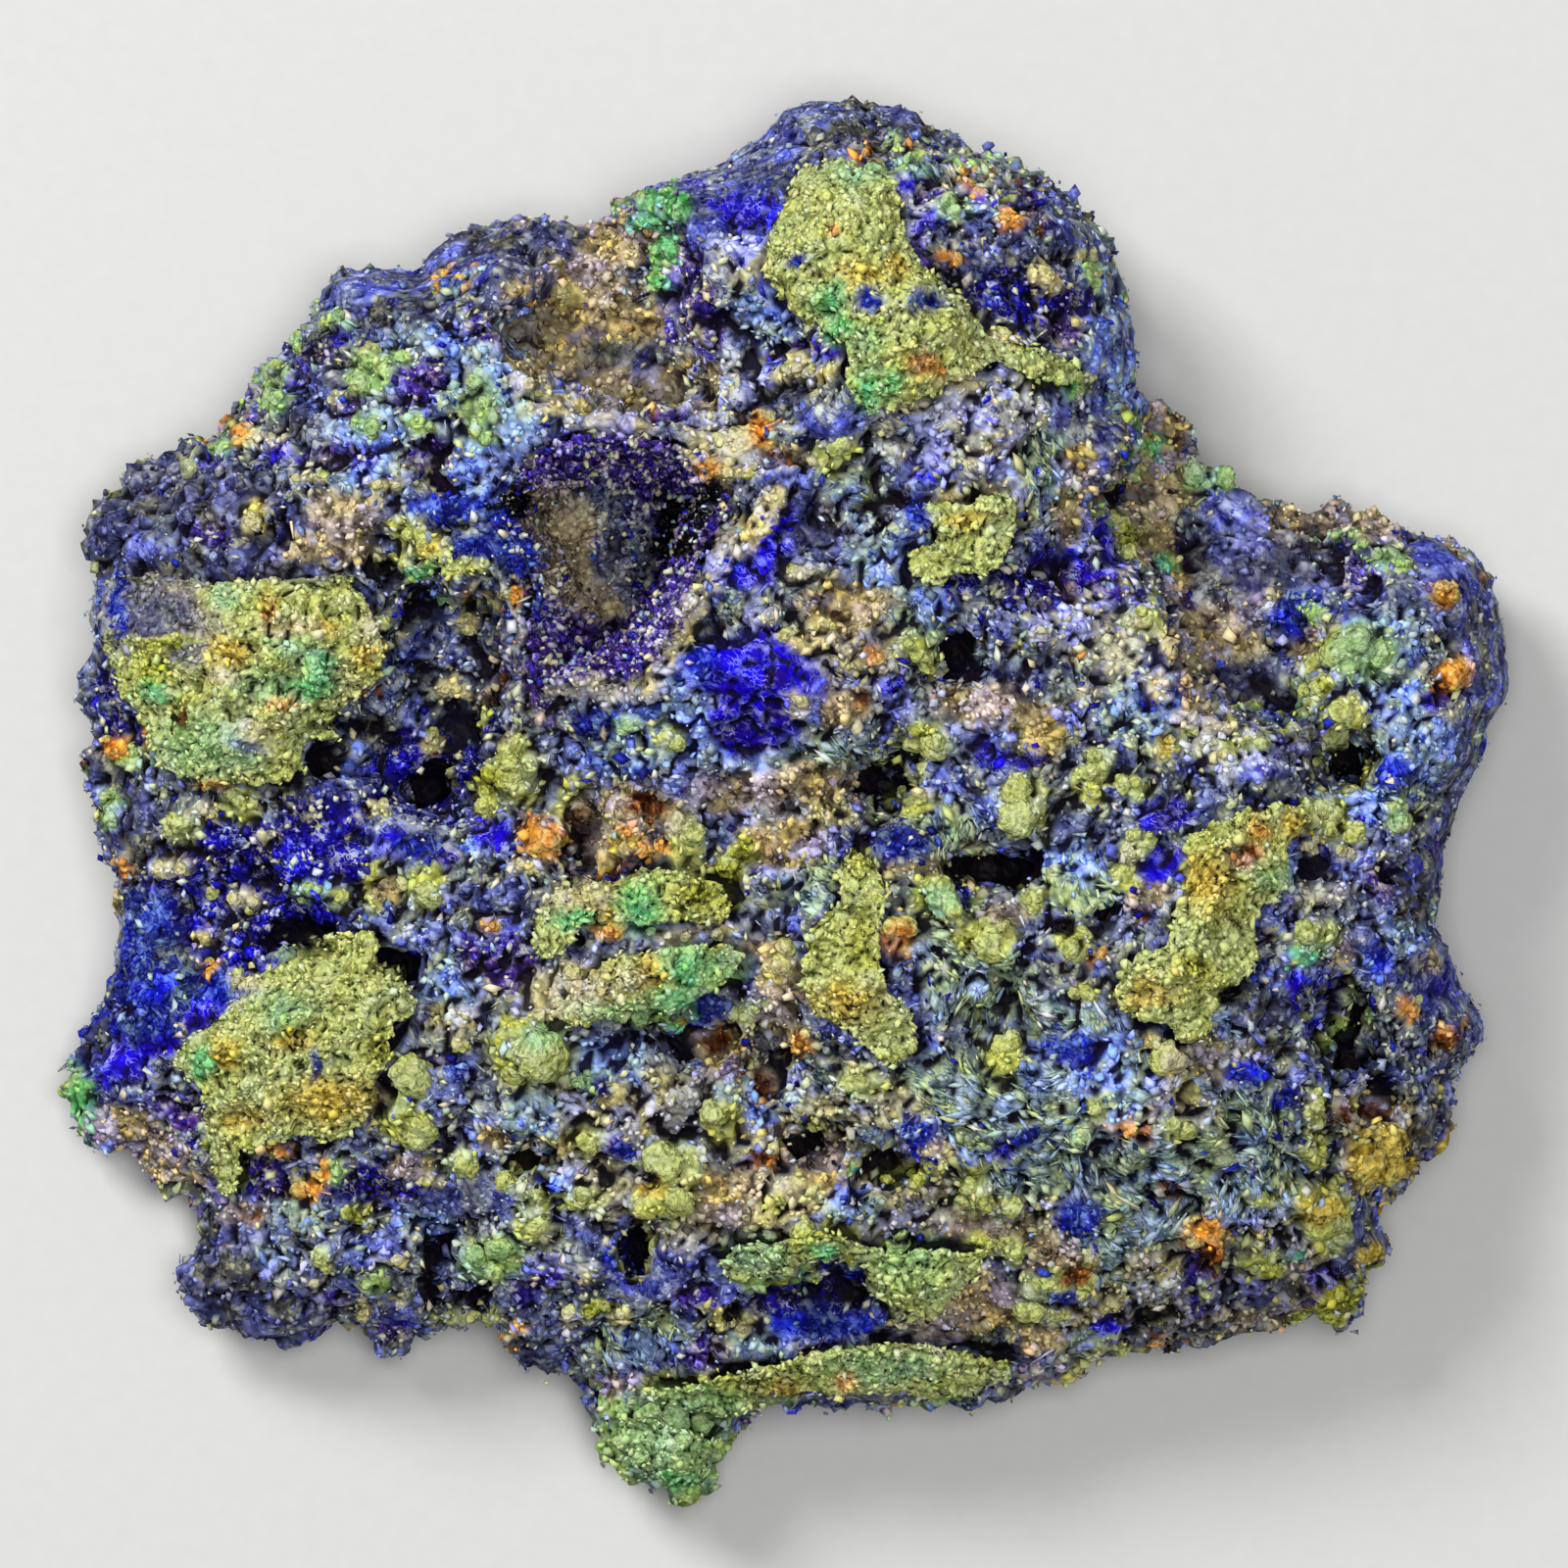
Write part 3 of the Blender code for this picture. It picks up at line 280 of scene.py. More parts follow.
        (880, 960, 14, 30), (672, 1472, 20, 12), (702, 1512, 18, 10), (155, 690, 20, 28),
        (185, 725, 10, 22), (165, 655, 40, 7), (720, 915, 40, 22), (740, 890, 24, 16), (920, 1200, 28, 11),
        (830, 1268, 32, 16), (605, 1335, 18, 9), (365, 1240, 13, 10), (1372, 1342, 38, 20),
        (720, 1418, 70, 14), (880, 880, 18, 10), (1150, 545, 12, 20), (1220, 890, 20, 20),
        (1350, 700, 10, 8), (500, 800, 12, 16), (1380, 1320, 24, 10), (205, 445, 22, 8),
        (1300, 1295, 10, 8), (760, 870, 16, 12), (390, 1070, 14, 14)],
    "ochre": [(275, 620, 11, 20), (330, 640, 20, 8), (240, 665, 24, 14), (375, 668, 14, 14),
        (875, 285, 26, 14), (915, 280, 14, 12), (340, 1122, 52, 24), (250, 1140, 28, 12),
        (232, 1075, 16, 15), (620, 935, 26, 20), (665, 992, 22, 16), (860, 1020, 34, 20),
        (1230, 900, 22, 32), (1282, 850, 16, 14), (1172, 1012, 24, 15), (1410, 1180, 42, 34),
        (1350, 1235, 22, 16), (660, 1210, 16, 10), (800, 1420, 16, 10), (640, 860, 24, 10),
        (1400, 1285, 20, 10), (985, 530, 20, 10), (1190, 765, 9, 11), (440, 560, 14, 6),
        (1320, 840, 12, 12), (300, 1060, 20, 10)],
    "cream": [(330, 700, 34, 16), (300, 640, 24, 10), (260, 745, 20, 10), (380, 640, 14, 14),
        (797, 968, 13, 12), (545, 386, 12, 20), (555, 402, 10, 10), (342, 410, 10, 8), (265, 446, 24, 6),
        (395, 494, 17, 8), (320, 488, 26, 4), (820, 383, 30, 10), (740, 458, 42, 20), (750, 480, 30, 11),
        (580, 300, 20, 10), (1060, 280, 9, 15), (1070, 292, 14, 8), (1110, 260, 10, 10), (170, 885, 19, 12),
        (250, 918, 17, 13), (205, 830, 20, 7), (475, 635, 13, 12), (505, 622, 8, 14), (460, 705, 17, 8),
        (440, 760, 9, 15), (515, 755, 8, 8), (535, 885, 19, 11), (820, 585, 17, 10), (810, 650, 22, 6),
        (815, 722, 11, 14), (590, 915, 38, 14), (600, 1005, 50, 22), (700, 950, 50, 6), (560, 1030, 24, 14),
        (790, 990, 18, 14), (755, 1352, 15, 9), (735, 1345, 7, 11), (1195, 1090, 14, 28),
        (1175, 1060, 10, 8), (955, 1185, 9, 9), (395, 1287, 15, 5), (405, 1330, 15, 5), (370, 1340, 6, 13),
        (315, 1308, 11, 7), (630, 1345, 11, 8), (580, 1345, 8, 11), (1110, 1280, 9, 8), (390, 825, 10, 10),
        (260, 525, 12, 12), (250, 1000, 16, 10), (1340, 860, 16, 8), (1375, 870, 14, 8), (780, 1255, 26, 9),
        (205, 955, 9, 6), (215, 905, 7, 8), (440, 1205, 12, 8), (840, 640, 12, 8), (1155, 635, 10, 8),
        (940, 810, 10, 5), (1150, 870, 8, 10), (470, 1060, 9, 7), (1230, 475, 14, 5), (1250, 770, 10, 5),
        (1020, 345, 14, 8), (985, 395, 20, 8), (230, 690, 20, 10)],
    "mint": [(640, 1440, 20, 14), (1365, 1052, 11, 7), (380, 382, 24, 22), (375, 436, 17, 14),
        (340, 325, 15, 11), (290, 350, 20, 15), (270, 380, 15, 15), (282, 410, 16, 12), (225, 455, 14, 8),
        (490, 400, 15, 25), (485, 430, 13, 16), (430, 435, 13, 10), (410, 365, 14, 8), (500, 450, 13, 10),
        (1240, 482, 34, 14), (1222, 495, 14, 8), (1375, 545, 15, 6), (1388, 556, 10, 6),
        (1420, 570, 20, 11), (1392, 665, 32, 32), (1115, 282, 15, 11), (1125, 300, 12, 6),
        (125, 770, 17, 13), (110, 815, 15, 11), (105, 838, 11, 9), (315, 912, 17, 10), (680, 1490, 76, 70),
        (720, 1440, 50, 24), (770, 1280, 32, 24), (930, 1290, 40, 30), (900, 1395, 70, 16),
        (500, 1285, 32, 23), (383, 1310, 15, 10), (740, 985, 22, 18), (650, 1030, 44, 12),
        (960, 915, 22, 16), (555, 1055, 24, 12), (300, 660, 24, 12), (200, 760, 40, 30), (235, 610, 16, 10),
        (1300, 895, 18, 14), (930, 170, 20, 12), (970, 215, 20, 12), (1425, 832, 12, 10),
        (340, 1195, 12, 14), (280, 700, 40, 16), (230, 780, 30, 14), (290, 1030, 26, 16),
        (1340, 968, 14, 10), (590, 1100, 16, 10), (1340, 625, 13, 9), (885, 350, 20, 14),
        (880, 180, 30, 14), (640, 740, 14, 8)],
    "jade": [(670, 205, 23, 12), (660, 225, 22, 10), (692, 215, 9, 15), (680, 258, 14, 22),
        (674, 286, 14, 10), (846, 310, 17, 16), (856, 336, 14, 14), (884, 402, 17, 24), (906, 396, 13, 14),
        (322, 698, 26, 16), (330, 676, 14, 10), (655, 925, 19, 27), (703, 985, 22, 26), (690, 1018, 26, 12),
        (1185, 575, 14, 11), (1178, 454, 9, 9), (72, 1122, 14, 32), (205, 1085, 15, 17),
        (1327, 975, 16, 10), (1325, 1286, 8, 8), (160, 705, 19, 9), (590, 938, 24, 10), (430, 585, 14, 10),
        (1092, 402, 11, 9), (840, 1275, 16, 10), (690, 1515, 20, 10), (440, 580, 8, 6)],
    "rust": [(1060, 240, 8, 11), (275, 625, 6, 10), (185, 735, 6, 12), (505, 720, 12, 10),
        (660, 820, 22, 12), (625, 885, 26, 12), (795, 467, 16, 7), (1270, 872, 14, 11),
        (1475, 1062, 17, 14), (1170, 1155, 11, 11), (1195, 1213, 15, 9), (775, 1108, 14, 18),
        (735, 1062, 14, 10), (880, 716, 9, 7), (785, 1182, 28, 9), (1165, 935, 10, 9), (1235, 1285, 16, 14),
        (1392, 1138, 28, 10), (1100, 1300, 16, 12), (1470, 695, 10, 18), (255, 1245, 12, 7),
        (890, 160, 8, 9), (590, 850, 12, 22), (1095, 665, 10, 5), (380, 712, 8, 6)],
    "orange": [(458, 288, 17, 12), (245, 437, 8, 11), (775, 440, 14, 17), (725, 480, 15, 12),
        (880, 153, 6, 10), (970, 265, 13, 9), (1030, 230, 13, 13), (990, 178, 14, 6), (940, 375, 14, 12),
        (956, 386, 9, 8), (850, 240, 9, 5), (113, 762, 15, 10), (288, 720, 13, 8), (215, 800, 14, 6),
        (215, 985, 11, 10), (120, 893, 12, 10), (525, 610, 9, 7), (552, 855, 26, 20), (502, 942, 10, 8),
        (665, 868, 18, 9), (915, 955, 16, 17), (815, 1060, 13, 15), (1475, 610, 12, 14),
        (1487, 690, 19, 20), (1440, 1030, 13, 12), (285, 1174, 18, 7), (315, 1216, 16, 16),
        (326, 1195, 8, 12), (1145, 1150, 10, 11), (1230, 1258, 22, 15), (527, 1358, 9, 7),
        (1180, 1375, 11, 8), (890, 668, 13, 10), (860, 1412, 12, 9), (1478, 1055, 10, 8), (645, 850, 8, 8),
        (1285, 848, 8, 8), (620, 950, 16, 8), (1120, 975, 8, 6)],
    # The mouths of pits: painted shade, black in the core, where the pits are also sunk in.
    "pit_shade": [(530, 512, 26, 23), (1356, 1036, 6, 22), (1379, 1046, 7, 18), (1366, 1064, 15, 6),
        (527, 503, 22, 18), (546, 604, 5, 24), (290, 540, 5, 26), (390, 577, 15, 14), (700, 520, 46, 26),
        (688, 555, 36, 24), (832, 527, 7, 9), (890, 540, 7, 7), (915, 508, 15, 16), (955, 548, 7, 9),
        (975, 290, 14, 9), (1365, 568, 7, 16), (310, 965, 26, 18), (335, 778, 20, 20), (282, 815, 13, 16),
        (345, 742, 26, 8), (500, 742, 20, 30), (450, 812, 36, 13), (375, 822, 10, 17), (400, 592, 20, 20),
        (410, 990, 18, 19), (975, 665, 12, 22), (905, 770, 18, 16), (885, 795, 20, 18), (1020, 888, 32, 22),
        (880, 858, 10, 16), (590, 868, 8, 30), (1365, 780, 26, 23), (305, 1178, 7, 9), (362, 1258, 7, 7),
        (440, 1300, 7, 42), (480, 1326, 26, 12), (540, 1180, 17, 16), (455, 1170, 11, 6),
        (395, 1105, 13, 8), (695, 1160, 14, 7), (660, 1200, 12, 11), (590, 1177, 8, 7), (655, 1275, 14, 19),
        (835, 1162, 10, 17), (915, 1172, 20, 11), (590, 1117, 11, 4), (690, 1052, 20, 12),
        (875, 1215, 9, 20), (920, 1262, 22, 6), (1170, 1346, 42, 9), (1158, 1370, 20, 12),
        (1290, 950, 9, 12), (1285, 735, 24, 7), (1085, 945, 18, 7), (1130, 935, 12, 8), (1280, 825, 12, 7),
        (515, 510, 16, 14), (730, 505, 14, 18), (560, 1205, 5, 18), (750, 1340, 9, 9), (1300, 1258, 16, 4),
        (770, 430, 8, 4), (1200, 500, 22, 4), (1460, 1075, 10, 6), (1385, 1080, 22, 12),
        (1250, 1015, 10, 14), (760, 1090, 4, 12), (905, 1340, 6, 14), (660, 1250, 8, 8)],
}


def black_core(x, y, wide, tall):
    """The painted shade of a pit's mouth drawn in to its black core. A slit stays as it is."""
    share = CORE if min(wide, tall) > SLIT else 1
    return x, y, round(wide * share), round(tall * share)


def in_mm(x, y, wide, tall):
    """A patch in millimetres from the middle, to a tenth."""
    steps = (x - MIDDLE[0], MIDDLE[1] - y, wide, tall)
    return tuple(round(step / STEPS, 1) for step in steps)


PATCHES["pit_shade"] = [black_core(*row) for row in PATCHES["pit_shade"]]
PATCHES = {name: [in_mm(*row) for row in rows] for name, rows in PATCHES.items()}
print("patches:", sum(len(found) for found in PATCHES.values()))

# %% [markdown]
# ## What each mineral looks like
#
# A crystal face is dark, middling or bright by how it happened to break, so each mineral gets
# three tones, written as screen colours from 0 to 255, and a lean: above 1, most of its grains
# are dark and only a few are bright, as in the sparkling purple. Veins are thin winding lines:
# light ones where the number is above 0, dark gaps where it is below. The last number is how
# many millimetres the mineral stands above the rest. The light tones looked chalky under the
# lamps, so all of them are lowered by one share, which is quicker to try out than 24 new
# colours. Blender works in linear light, so the screen colours are converted once.

# %% Tones
TONES = {
    # name: (dark, middle, light, lean, veins, rise)
    "slate": ((12, 10, 68), (110, 120, 152), (192, 198, 192), 1.0, 0.3, 0.0),
    "violet": ((24, 24, 100), (80, 87, 146), (160, 170, 200), 0.95, 0.5, 0.1),
    "lavender": ((78, 72, 124), (196, 197, 200), (208, 212, 206), 0.85, 0.3, 0.1),
    "teal": ((20, 40, 66), (142, 164, 158), (194, 206, 184), 0.9, 0.3, 0.0),
    "drab": ((50, 44, 50), (172, 168, 146), (196, 194, 172), 0.9, -0.2, 0.0),
    "tan": ((54, 40, 32), (176, 158, 130), (206, 194, 164), 0.95, -0.3, 0.0),
    "frost": ((34, 52, 134), (142, 170, 206), (198, 210, 208), 0.95, 0.3, 0.2),
    "royal": ((20, 0, 150), (30, 4, 190), (150, 150, 236), 1.5, 1.0, -0.1),
    "deep": ((14, 0, 62), (72, 46, 152), (214, 206, 212), 1.3, 0.5, -0.4),
    "indigo": ((4, 0, 78), (22, 12, 150), (198, 200, 192), 1.7, 0.7, -0.2),
    "starry": ((6, 6, 62), (92, 102, 134), (204, 206, 186), 1.05, 0.3, -0.2),
    "lime": ((146, 154, 72), (210, 219, 134), (228, 235, 165), 0.8, -0.55, 0.4),
    "umber": ((56, 44, 40), (170, 154, 130), (204, 194, 170), 0.95, -0.2, -0.1),
    "ash": ((20, 18, 52), (80, 82, 104), (147, 149, 155), 1.0, 0.2, 0.0),
    "steel": ((4, 2, 106), (24, 40, 150), (106, 130, 190), 1.2, 0.8, 0.0),
    "crest": ((146, 134, 124), (222, 212, 194), (228, 224, 208), 0.6, 0.2, 0.8),
    "olive": ((84, 90, 20), (166, 170, 68), (206, 208, 120), 0.9, -0.7, 0.2),
    "ochre": ((112, 84, 16), (206, 180, 76), (222, 206, 124), 0.85, -0.5, 0.2),
    "cream": ((150, 136, 88), (218, 210, 160), (232, 228, 198), 0.75, -0.4, 0.4),
    "mint": ((104, 144, 88), (170, 208, 140), (209, 230, 176), 0.8, -0.5, 0.4),
    "jade": ((56, 134, 72), (122, 206, 134), (184, 230, 172), 0.85, -0.5, 0.4),
    "rust": ((26, 8, 4), (116, 60, 24), (206, 138, 80), 1.2, -0.5, -0.4),
    "orange": ((140, 78, 26), (218, 150, 72), (234, 198, 132), 0.85, -0.4, 0.4),
    # painted shade in the mouths of pits, which the rise also sinks in
    "pit_shade": ((0, 0, 2), (3, 2, 7), (100, 92, 100), 3.0, 0.0, -0.8),
}
BARE = ("slate", "lime", "deep")


def linear(screen):
    """A screen colour from 0 to 255 as linear light."""
    share = np.array(screen) / 255
    return np.where(share < 0.04045, share / 12.92, ((share + 0.055) / 1.055) ** 2.4)


def marks_of(dark, middle, light, *rest):
    """The row of numbers that stands for a mineral, its light tone lowered a little."""
    lowered = [round(value * LIGHT_SHARE) for value in light]
    return np.concatenate([linear(dark), linear(middle), linear(lowered), rest])


LIGHT_SHARE = 0.955
MARKS = {name: marks_of(*looks) for name, looks in TONES.items()}
LEAN, VEINS, RISE = 9, 10, 11
NAMES = list(TONES)
print("minerals:", len(TONES))

# %% [markdown]
# ## From facets to a dense skin
#
# The CAD solid has a few thousand flat triangles, too few to carry crystals. There are two ways
# to get more: subdividing keeps the old triangles' uneven pattern, while a voxel remesh lays one
# even grid over everything, also where walls are steep. Even faces matter here, because crystals
# will be seeded on them. The copy is merged first, as the loaded mesh is loose triangles, and
# the original is left alone. The flat underside needs no grid, so one big face closes it again.

# %% Arrays and dense copies
def places(mesh):
    """The points of a mesh, in millimetres."""
    found = np.empty(len(mesh.vertices) * 3, np.float32)
    mesh.vertices.foreach_get("co", found)
    return found.reshape(-1, 3).astype(float) / MM


def facings(mesh):
    """The outward directions at the points of a mesh."""
    found = np.empty(len(mesh.vertices) * 3, np.float32)
    mesh.vertex_normals.foreach_get("vector", found)
    return found.reshape(-1, 3).astype(float)


def put(mesh, points):
    """Moves the points of a mesh to these places, in millimetres."""
    mesh.vertices.foreach_set("co", (points * MM).astype(np.float32).ravel())
    mesh.update()


def plain_underside(mesh):
    """Replaces the grid on the flat underside by one face's worth of triangles."""
    bm = bmesh.new()
    bm.from_mesh(mesh)
    under = [f for f in bm.faces if all(v.co.z < UNDERSIDE * MM for v in f.verts)]
    bmesh.ops.delete(bm, geom=under, context="FACES")
    rim = [e for e in bm.edges if e.is_boundary]
    bmesh.ops.triangle_fill(bm, use_beauty=True, edges=rim, normal=(0, 0, -1))
    bmesh.ops.recalc_face_normals(bm, faces=bm.faces)
    bm.to_mesh(mesh)
    bm.free()


def dense(node, name, voxel, rounds):
    """A copy of a CAD node with even faces, its facets rounded off."""
    bm = bmesh.new()
    bm.from_mesh(frame["nodes"][node].data)
    bmesh.ops.remove_doubles(bm, verts=bm.verts, dist=1e-6)
    mesh = bpy.data.meshes.new(name)
    bm.to_mesh(mesh)
    bm.free()
    piece = bpy.data.objects.new(name, mesh)
    bpy.context.scene.collection.objects.link(piece)
    even = piece.modifiers.new("even faces", "REMESH")
    even.mode = "VOXEL"
    even.voxel_size = voxel * MM
    soft = piece.modifiers.new("rounded facets", "SMOOTH")
    soft.factor = 0.5
    soft.iterations = rounds
    view = bpy.context.evaluated_depsgraph_get()
    piece.data = bpy.data.meshes.new_from_object(piece.evaluated_get(view))
    piece.modifiers.clear()
    piece.data.materials.clear()
    bpy.data.meshes.remove(mesh)
    piece.data.name = name
    return piece


UNDERSIDE = 0.12     # mm, the height below which a face belongs to the flat underside
BODY_GRID = 0.455    # mm between the points of the dense body
body = dense("azurite_mass", "azurite_body", voxel=BODY_GRID, rounds=8)
plain_underside(body.data)
print("body faces:", len(body.data.polygons))

# %% [markdown]
# ## Asking the patches
#
# Real borders between minerals are ragged, so the points are shaken by two sizes of noise
# before they are compared with the ellipses. The answer for each point is a row of marks: its
# three tones, lean, veins and rise, and besides them the mineral that lies on top, which later
# decides what kind of crystal grows there. The ellipses are read from above, so on a steep wall
# they would run down as stripes. Points on the body's walls therefore look some millimetres
# aside, each where its own noise sends it, and take the mineral that they find there. Inside one
# mineral the grains still differ clump by clump: every Voronoi cell is a little brighter or
# darker, and a little warmer or cooler. Both shifts are the same for all three tones. Shifting
# red, green and blue apart from each other would scatter pink and cyan over the stone.

# %% Read the patches at any points
def shaken(points):
    """Points moved by noise, so that borders come out ragged."""
    moved = np.empty_like(points)
    for i, point in enumerate(points):
        at = Vector(point)
        place = at
        for size, reach in RAGGED:
            place = place + noise.noise_vector(at / size) * reach
        moved[i] = place
    return moved


def aside(points):
    """How far points on the body's walls look aside, in millimetres."""
    moved = np.zeros((len(points), 2))
    for i, point in enumerate(points):
        steep = STEEPNESS[wall_finder.find(point)[1]]
        if steep > 0:
            moved[i] = noise.noise_vector(Vector(point) / ASIDE_GRAIN)[:2]
            moved[i] *= steep * ASIDE_REACH
    return moved


def cover(points, patches, soft=0.4):
    """How far inside the patches each point lies: 1 well inside, 0 outside."""
    best = np.zeros(len(points))
    for x, y, wide, tall in patches:
        near = np.flatnonzero(
            (np.abs(points[:, 0] - x) < 1.5 * wide) & (np.abs(points[:, 1] - y) < 1.5 * tall)
        )
        share = np.hypot((points[near, 0] - x) / wide, (points[near, 1] - y) / tall)
        best[near] = np.maximum(best[near], np.clip((1 - share) / soft + 0.5, 0, 1))
    return best


def clumps(points):
    """How much redder, greener and bluer each clump of grains is than the rest."""
    chances = np.empty((len(points), 2))
    for i, point in enumerate(points / CLUMP_SIZE):
        seed = noise.voronoi(Vector(point))[1][0]
        chances[i] = noise.cell_vector(seed * FAR_APART)[:2]
    bright, warm = chances[:, :1] - 0.5, chances[:, 1:] - 0.5
    return np.exp(bright + warm * WARMTH)


def minerals(points, bare, soft=0.4):
    """The marks of each point and the index of the mineral on top there."""
    marks = np.tile(MARKS[bare], (len(points), 1))
    top = np.full(len(points), NAMES.index(bare))
    at = shaken(points)
    if bare == BARE[0]:
        at[:, :2] += aside(points)
    order = list(PATCHES)
    for name in order[order.index(bare) + 1 if bare in order else 0:]:
        share = cover(at, PATCHES[name], soft)
        marks += (MARKS[name] - marks) * share[:, None]
        top[share > 0.5] = NAMES.index(name)
    marks[:, :LEAN] *= np.tile(clumps(at), 3) ** CLUMP_SHAKE[bare]
    return marks, top


RAGGED = ((1.7, 0.55), (0.5, 0.3))    # size of the noise and how far it moves a point, in mm
CLUMP_SIZE = 1.7    # mm
FAR_APART = 37      # takes seeds that are close together to cells that are not
CLUMP_SHAKE = {"slate": 1.0, "lime": 0.3, "deep": 0.35}
WARMTH = np.array((0.55, 0.4, -1.1))    # how warm light differs in red, green and blue
ASIDE_GRAIN = 4.0
ASIDE_REACH = 11.0
WALL = 0.42                             # upward share of the normal at which a wall begins
WALL_FADE = 0.25
STEEPNESS = np.clip((WALL - facings(body.data)[:, 2]) / WALL_FADE, 0, 1)
wall_finder = KDTree(len(STEEPNESS))
for i, point in enumerate(places(body.data)):
    wall_finder.insert(point, i)
wall_finder.balance()
print("points on walls:", int((STEEPNESS > 0.5).sum()))

# %% [markdown]
# ## Relief
#
# Minerals like these grow as rounded heaps: heaps of 4 mm, knobs of 2 mm on them and grains
# under a millimetre on those. A Voronoi pattern gives such heaps. The distance to the nearest
# seed is small inside a cell and equal to the next one on a border, so their difference is a
# dome with a crease round it. The points are pushed along their normals by three sizes of domes,
# and by the rise of the mineral there. The smooth violet and steel-blue rims get less of it.

# %% Domes with creases
def domes(points, size, seed):
    """Domes about that many millimetres across: 0 in the creases, near 1 on the tops."""
    tops = np.empty(len(points))
    for i, point in enumerate(points / size + seed):
        at = Vector(point)
        near = noise.voronoi(at + noise.noise_vector(at * WARP_GRAIN) * WARP)[0]
        tops[i] = near[1] - near[0]
    return np.sqrt(np.clip(tops * DOME_STEEP, 0, 1))


def kept_in(points):
    """Points held inside the box of the CAD model."""
    low = np.array(cad_box[0]) / MM
    high = np.array(cad_box[1]) / MM
    return np.clip(points, low, high)


def calm_share(points):
    """1 on the smooth rims, 0 elsewhere."""
    share = np.zeros(len(points))
    for name in CALM_MINERALS:
        share = np.maximum(share, cover(points, PATCHES[name]))
    return share


def roughen(piece, bare, relief, rise, seed):
    """Pushes the points of a piece out and in by domes of several sizes and by the rise."""
    points = places(piece.data)
    calm = calm_share(points)
    marks, _ = minerals(points, bare)
    lift = (marks[:, RISE] - MARKS[bare][RISE]) * rise
    for k, (size, high) in enumerate(relief):
        share = 1 - calm * CALMED[k]
        lift += high * share * (domes(points, size, seed + 7.3 * k) - DOME_MIDDLE)
    lift *= np.clip(points[:, 2] / FOOT, 0, 1)
    put(piece.data, kept_in(points + facings(piece.data) * lift[:, None]))
    return lift


CALM_MINERALS = ("violet", "steel")
CALMED = (0.75, 0.75, 0.55)    # how much of each size of dome the smooth rims lose
DOME_MIDDLE = 0.62             # the height that stays where the CAD surface is
DOME_STEEP = 1.3
WARP = 0.3                     # how far a dome is pulled out of true, as a share of its size
WARP_GRAIN = 1.6
FOOT = 1.5                     # height over which the relief fades towards the table
BODY_RELIEF = ((3.8, 1.15), (1.9, 0.75), (0.95, 0.4))    # how wide and how high, in mm
CRUST_RELIEF = ((2.3, 0.7), (1.1, 0.5), (0.55, 0.3))
DRUSE_RELIEF = ((1.6, 0.45), (0.8, 0.35))
lift = roughen(body, "slate", BODY_RELIEF, rise=1.0, seed=3.1)
print("lift in mm:", round(lift.min(), 2), "to", round(lift.max(), 2))

# %% [markdown]
# ## The malachite crusts and the lining of the hollow
#
# Malachite sits on the blue as green crusts a millimetre or two thick with a cauliflower skin.
# Each crust of the CAD model is made dense in the same way, only finer, and its domes are
# smaller and closer together. Each stays a piece of its own, because on the real specimen a
# crust is a separate growth with an edge that casts a shadow. The deep hollow at the upper left
# is lined with a dark druse, a sheet of crystals that grew inwards.

# %% Crusts and druse
CRUST_GRID = 0.21
DRUSE_GRID = 0.27
crusts = []
for node in sorted(frame["nodes"]):
    if node.startswith("malachite"):
        piece = dense(node, node + "_skin", voxel=CRUST_GRID, rounds=6)
        roughen(piece, "lime", CRUST_RELIEF, rise=0.6, seed=9.7)
        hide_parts(node)
        crusts.append(piece)
druse = dense("vug_druse", "druse_lining", voxel=DRUSE_GRID, rounds=3)
roughen(druse, "deep", DRUSE_RELIEF, rise=0.5, seed=21.3)
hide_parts("vug_druse")
print("crust faces:", sum(len(piece.data.polygons) for piece in crusts))
print("druse faces:", len(druse.data.polygons))

# %% [markdown]
# ## Gaps along the crusts
#
# A crust hardly touches what it grew over: beside it lies a gap in shade, here and there bridged
# by grains. For each point of the body the nearest crust is looked up in a tree of all the crusts'
# faces. Close to a crust, and where a wide noise allows it, the body is pushed in and gets painted
# shade as well.

# %% Gaps
def tree_of(pieces):
    """One search tree of the faces of several pieces, in millimetres."""
    points = []
    faces = []
    for piece in pieces:
        first = len(points)
        points.extend(Vector(p) for p in places(piece.data))
        faces.extend([first + k for k in face.vertices] for face in piece.data.polygons)
    return BVHTree.FromPolygons(points, faces)


def gaps(points, tree, wide):
    """1 beside a crust where a gap runs, 0 away from the crusts."""
    share = np.zeros(len(points))
    for i, point in enumerate(points):
        at = Vector(point)
        far = tree.find_nearest(at, wide)[3]
        if far is not None:
            open_here = noise.noise(at / BRIDGE_SIZE) * BRIDGE_SWING + MOSTLY_OPEN
            share[i] = (1 - far / wide) * min(max(open_here, 0), 1)
    return np.clip(share * 1.6, 0, 1)


GAP_WIDE = 1.3        # mm from the crust
GAP_DEEP = 0.9        # mm
BRIDGE_SIZE = 2.6     # mm, the size of the noise that bridges a gap
BRIDGE_SWING = 1.8
MOSTLY_OPEN = 0.75
crust_tree = tree_of(crusts)
body_points = places(body.data)
body_gaps = gaps(body_points, crust_tree, GAP_WIDE)
put(body.data, kept_in(body_points - facings(body.data) * (GAP_DEEP * body_gaps)[:, None]))
body_tree = tree_of([body])
print("points in gaps:", int((body_gaps > 0.4).sum()))
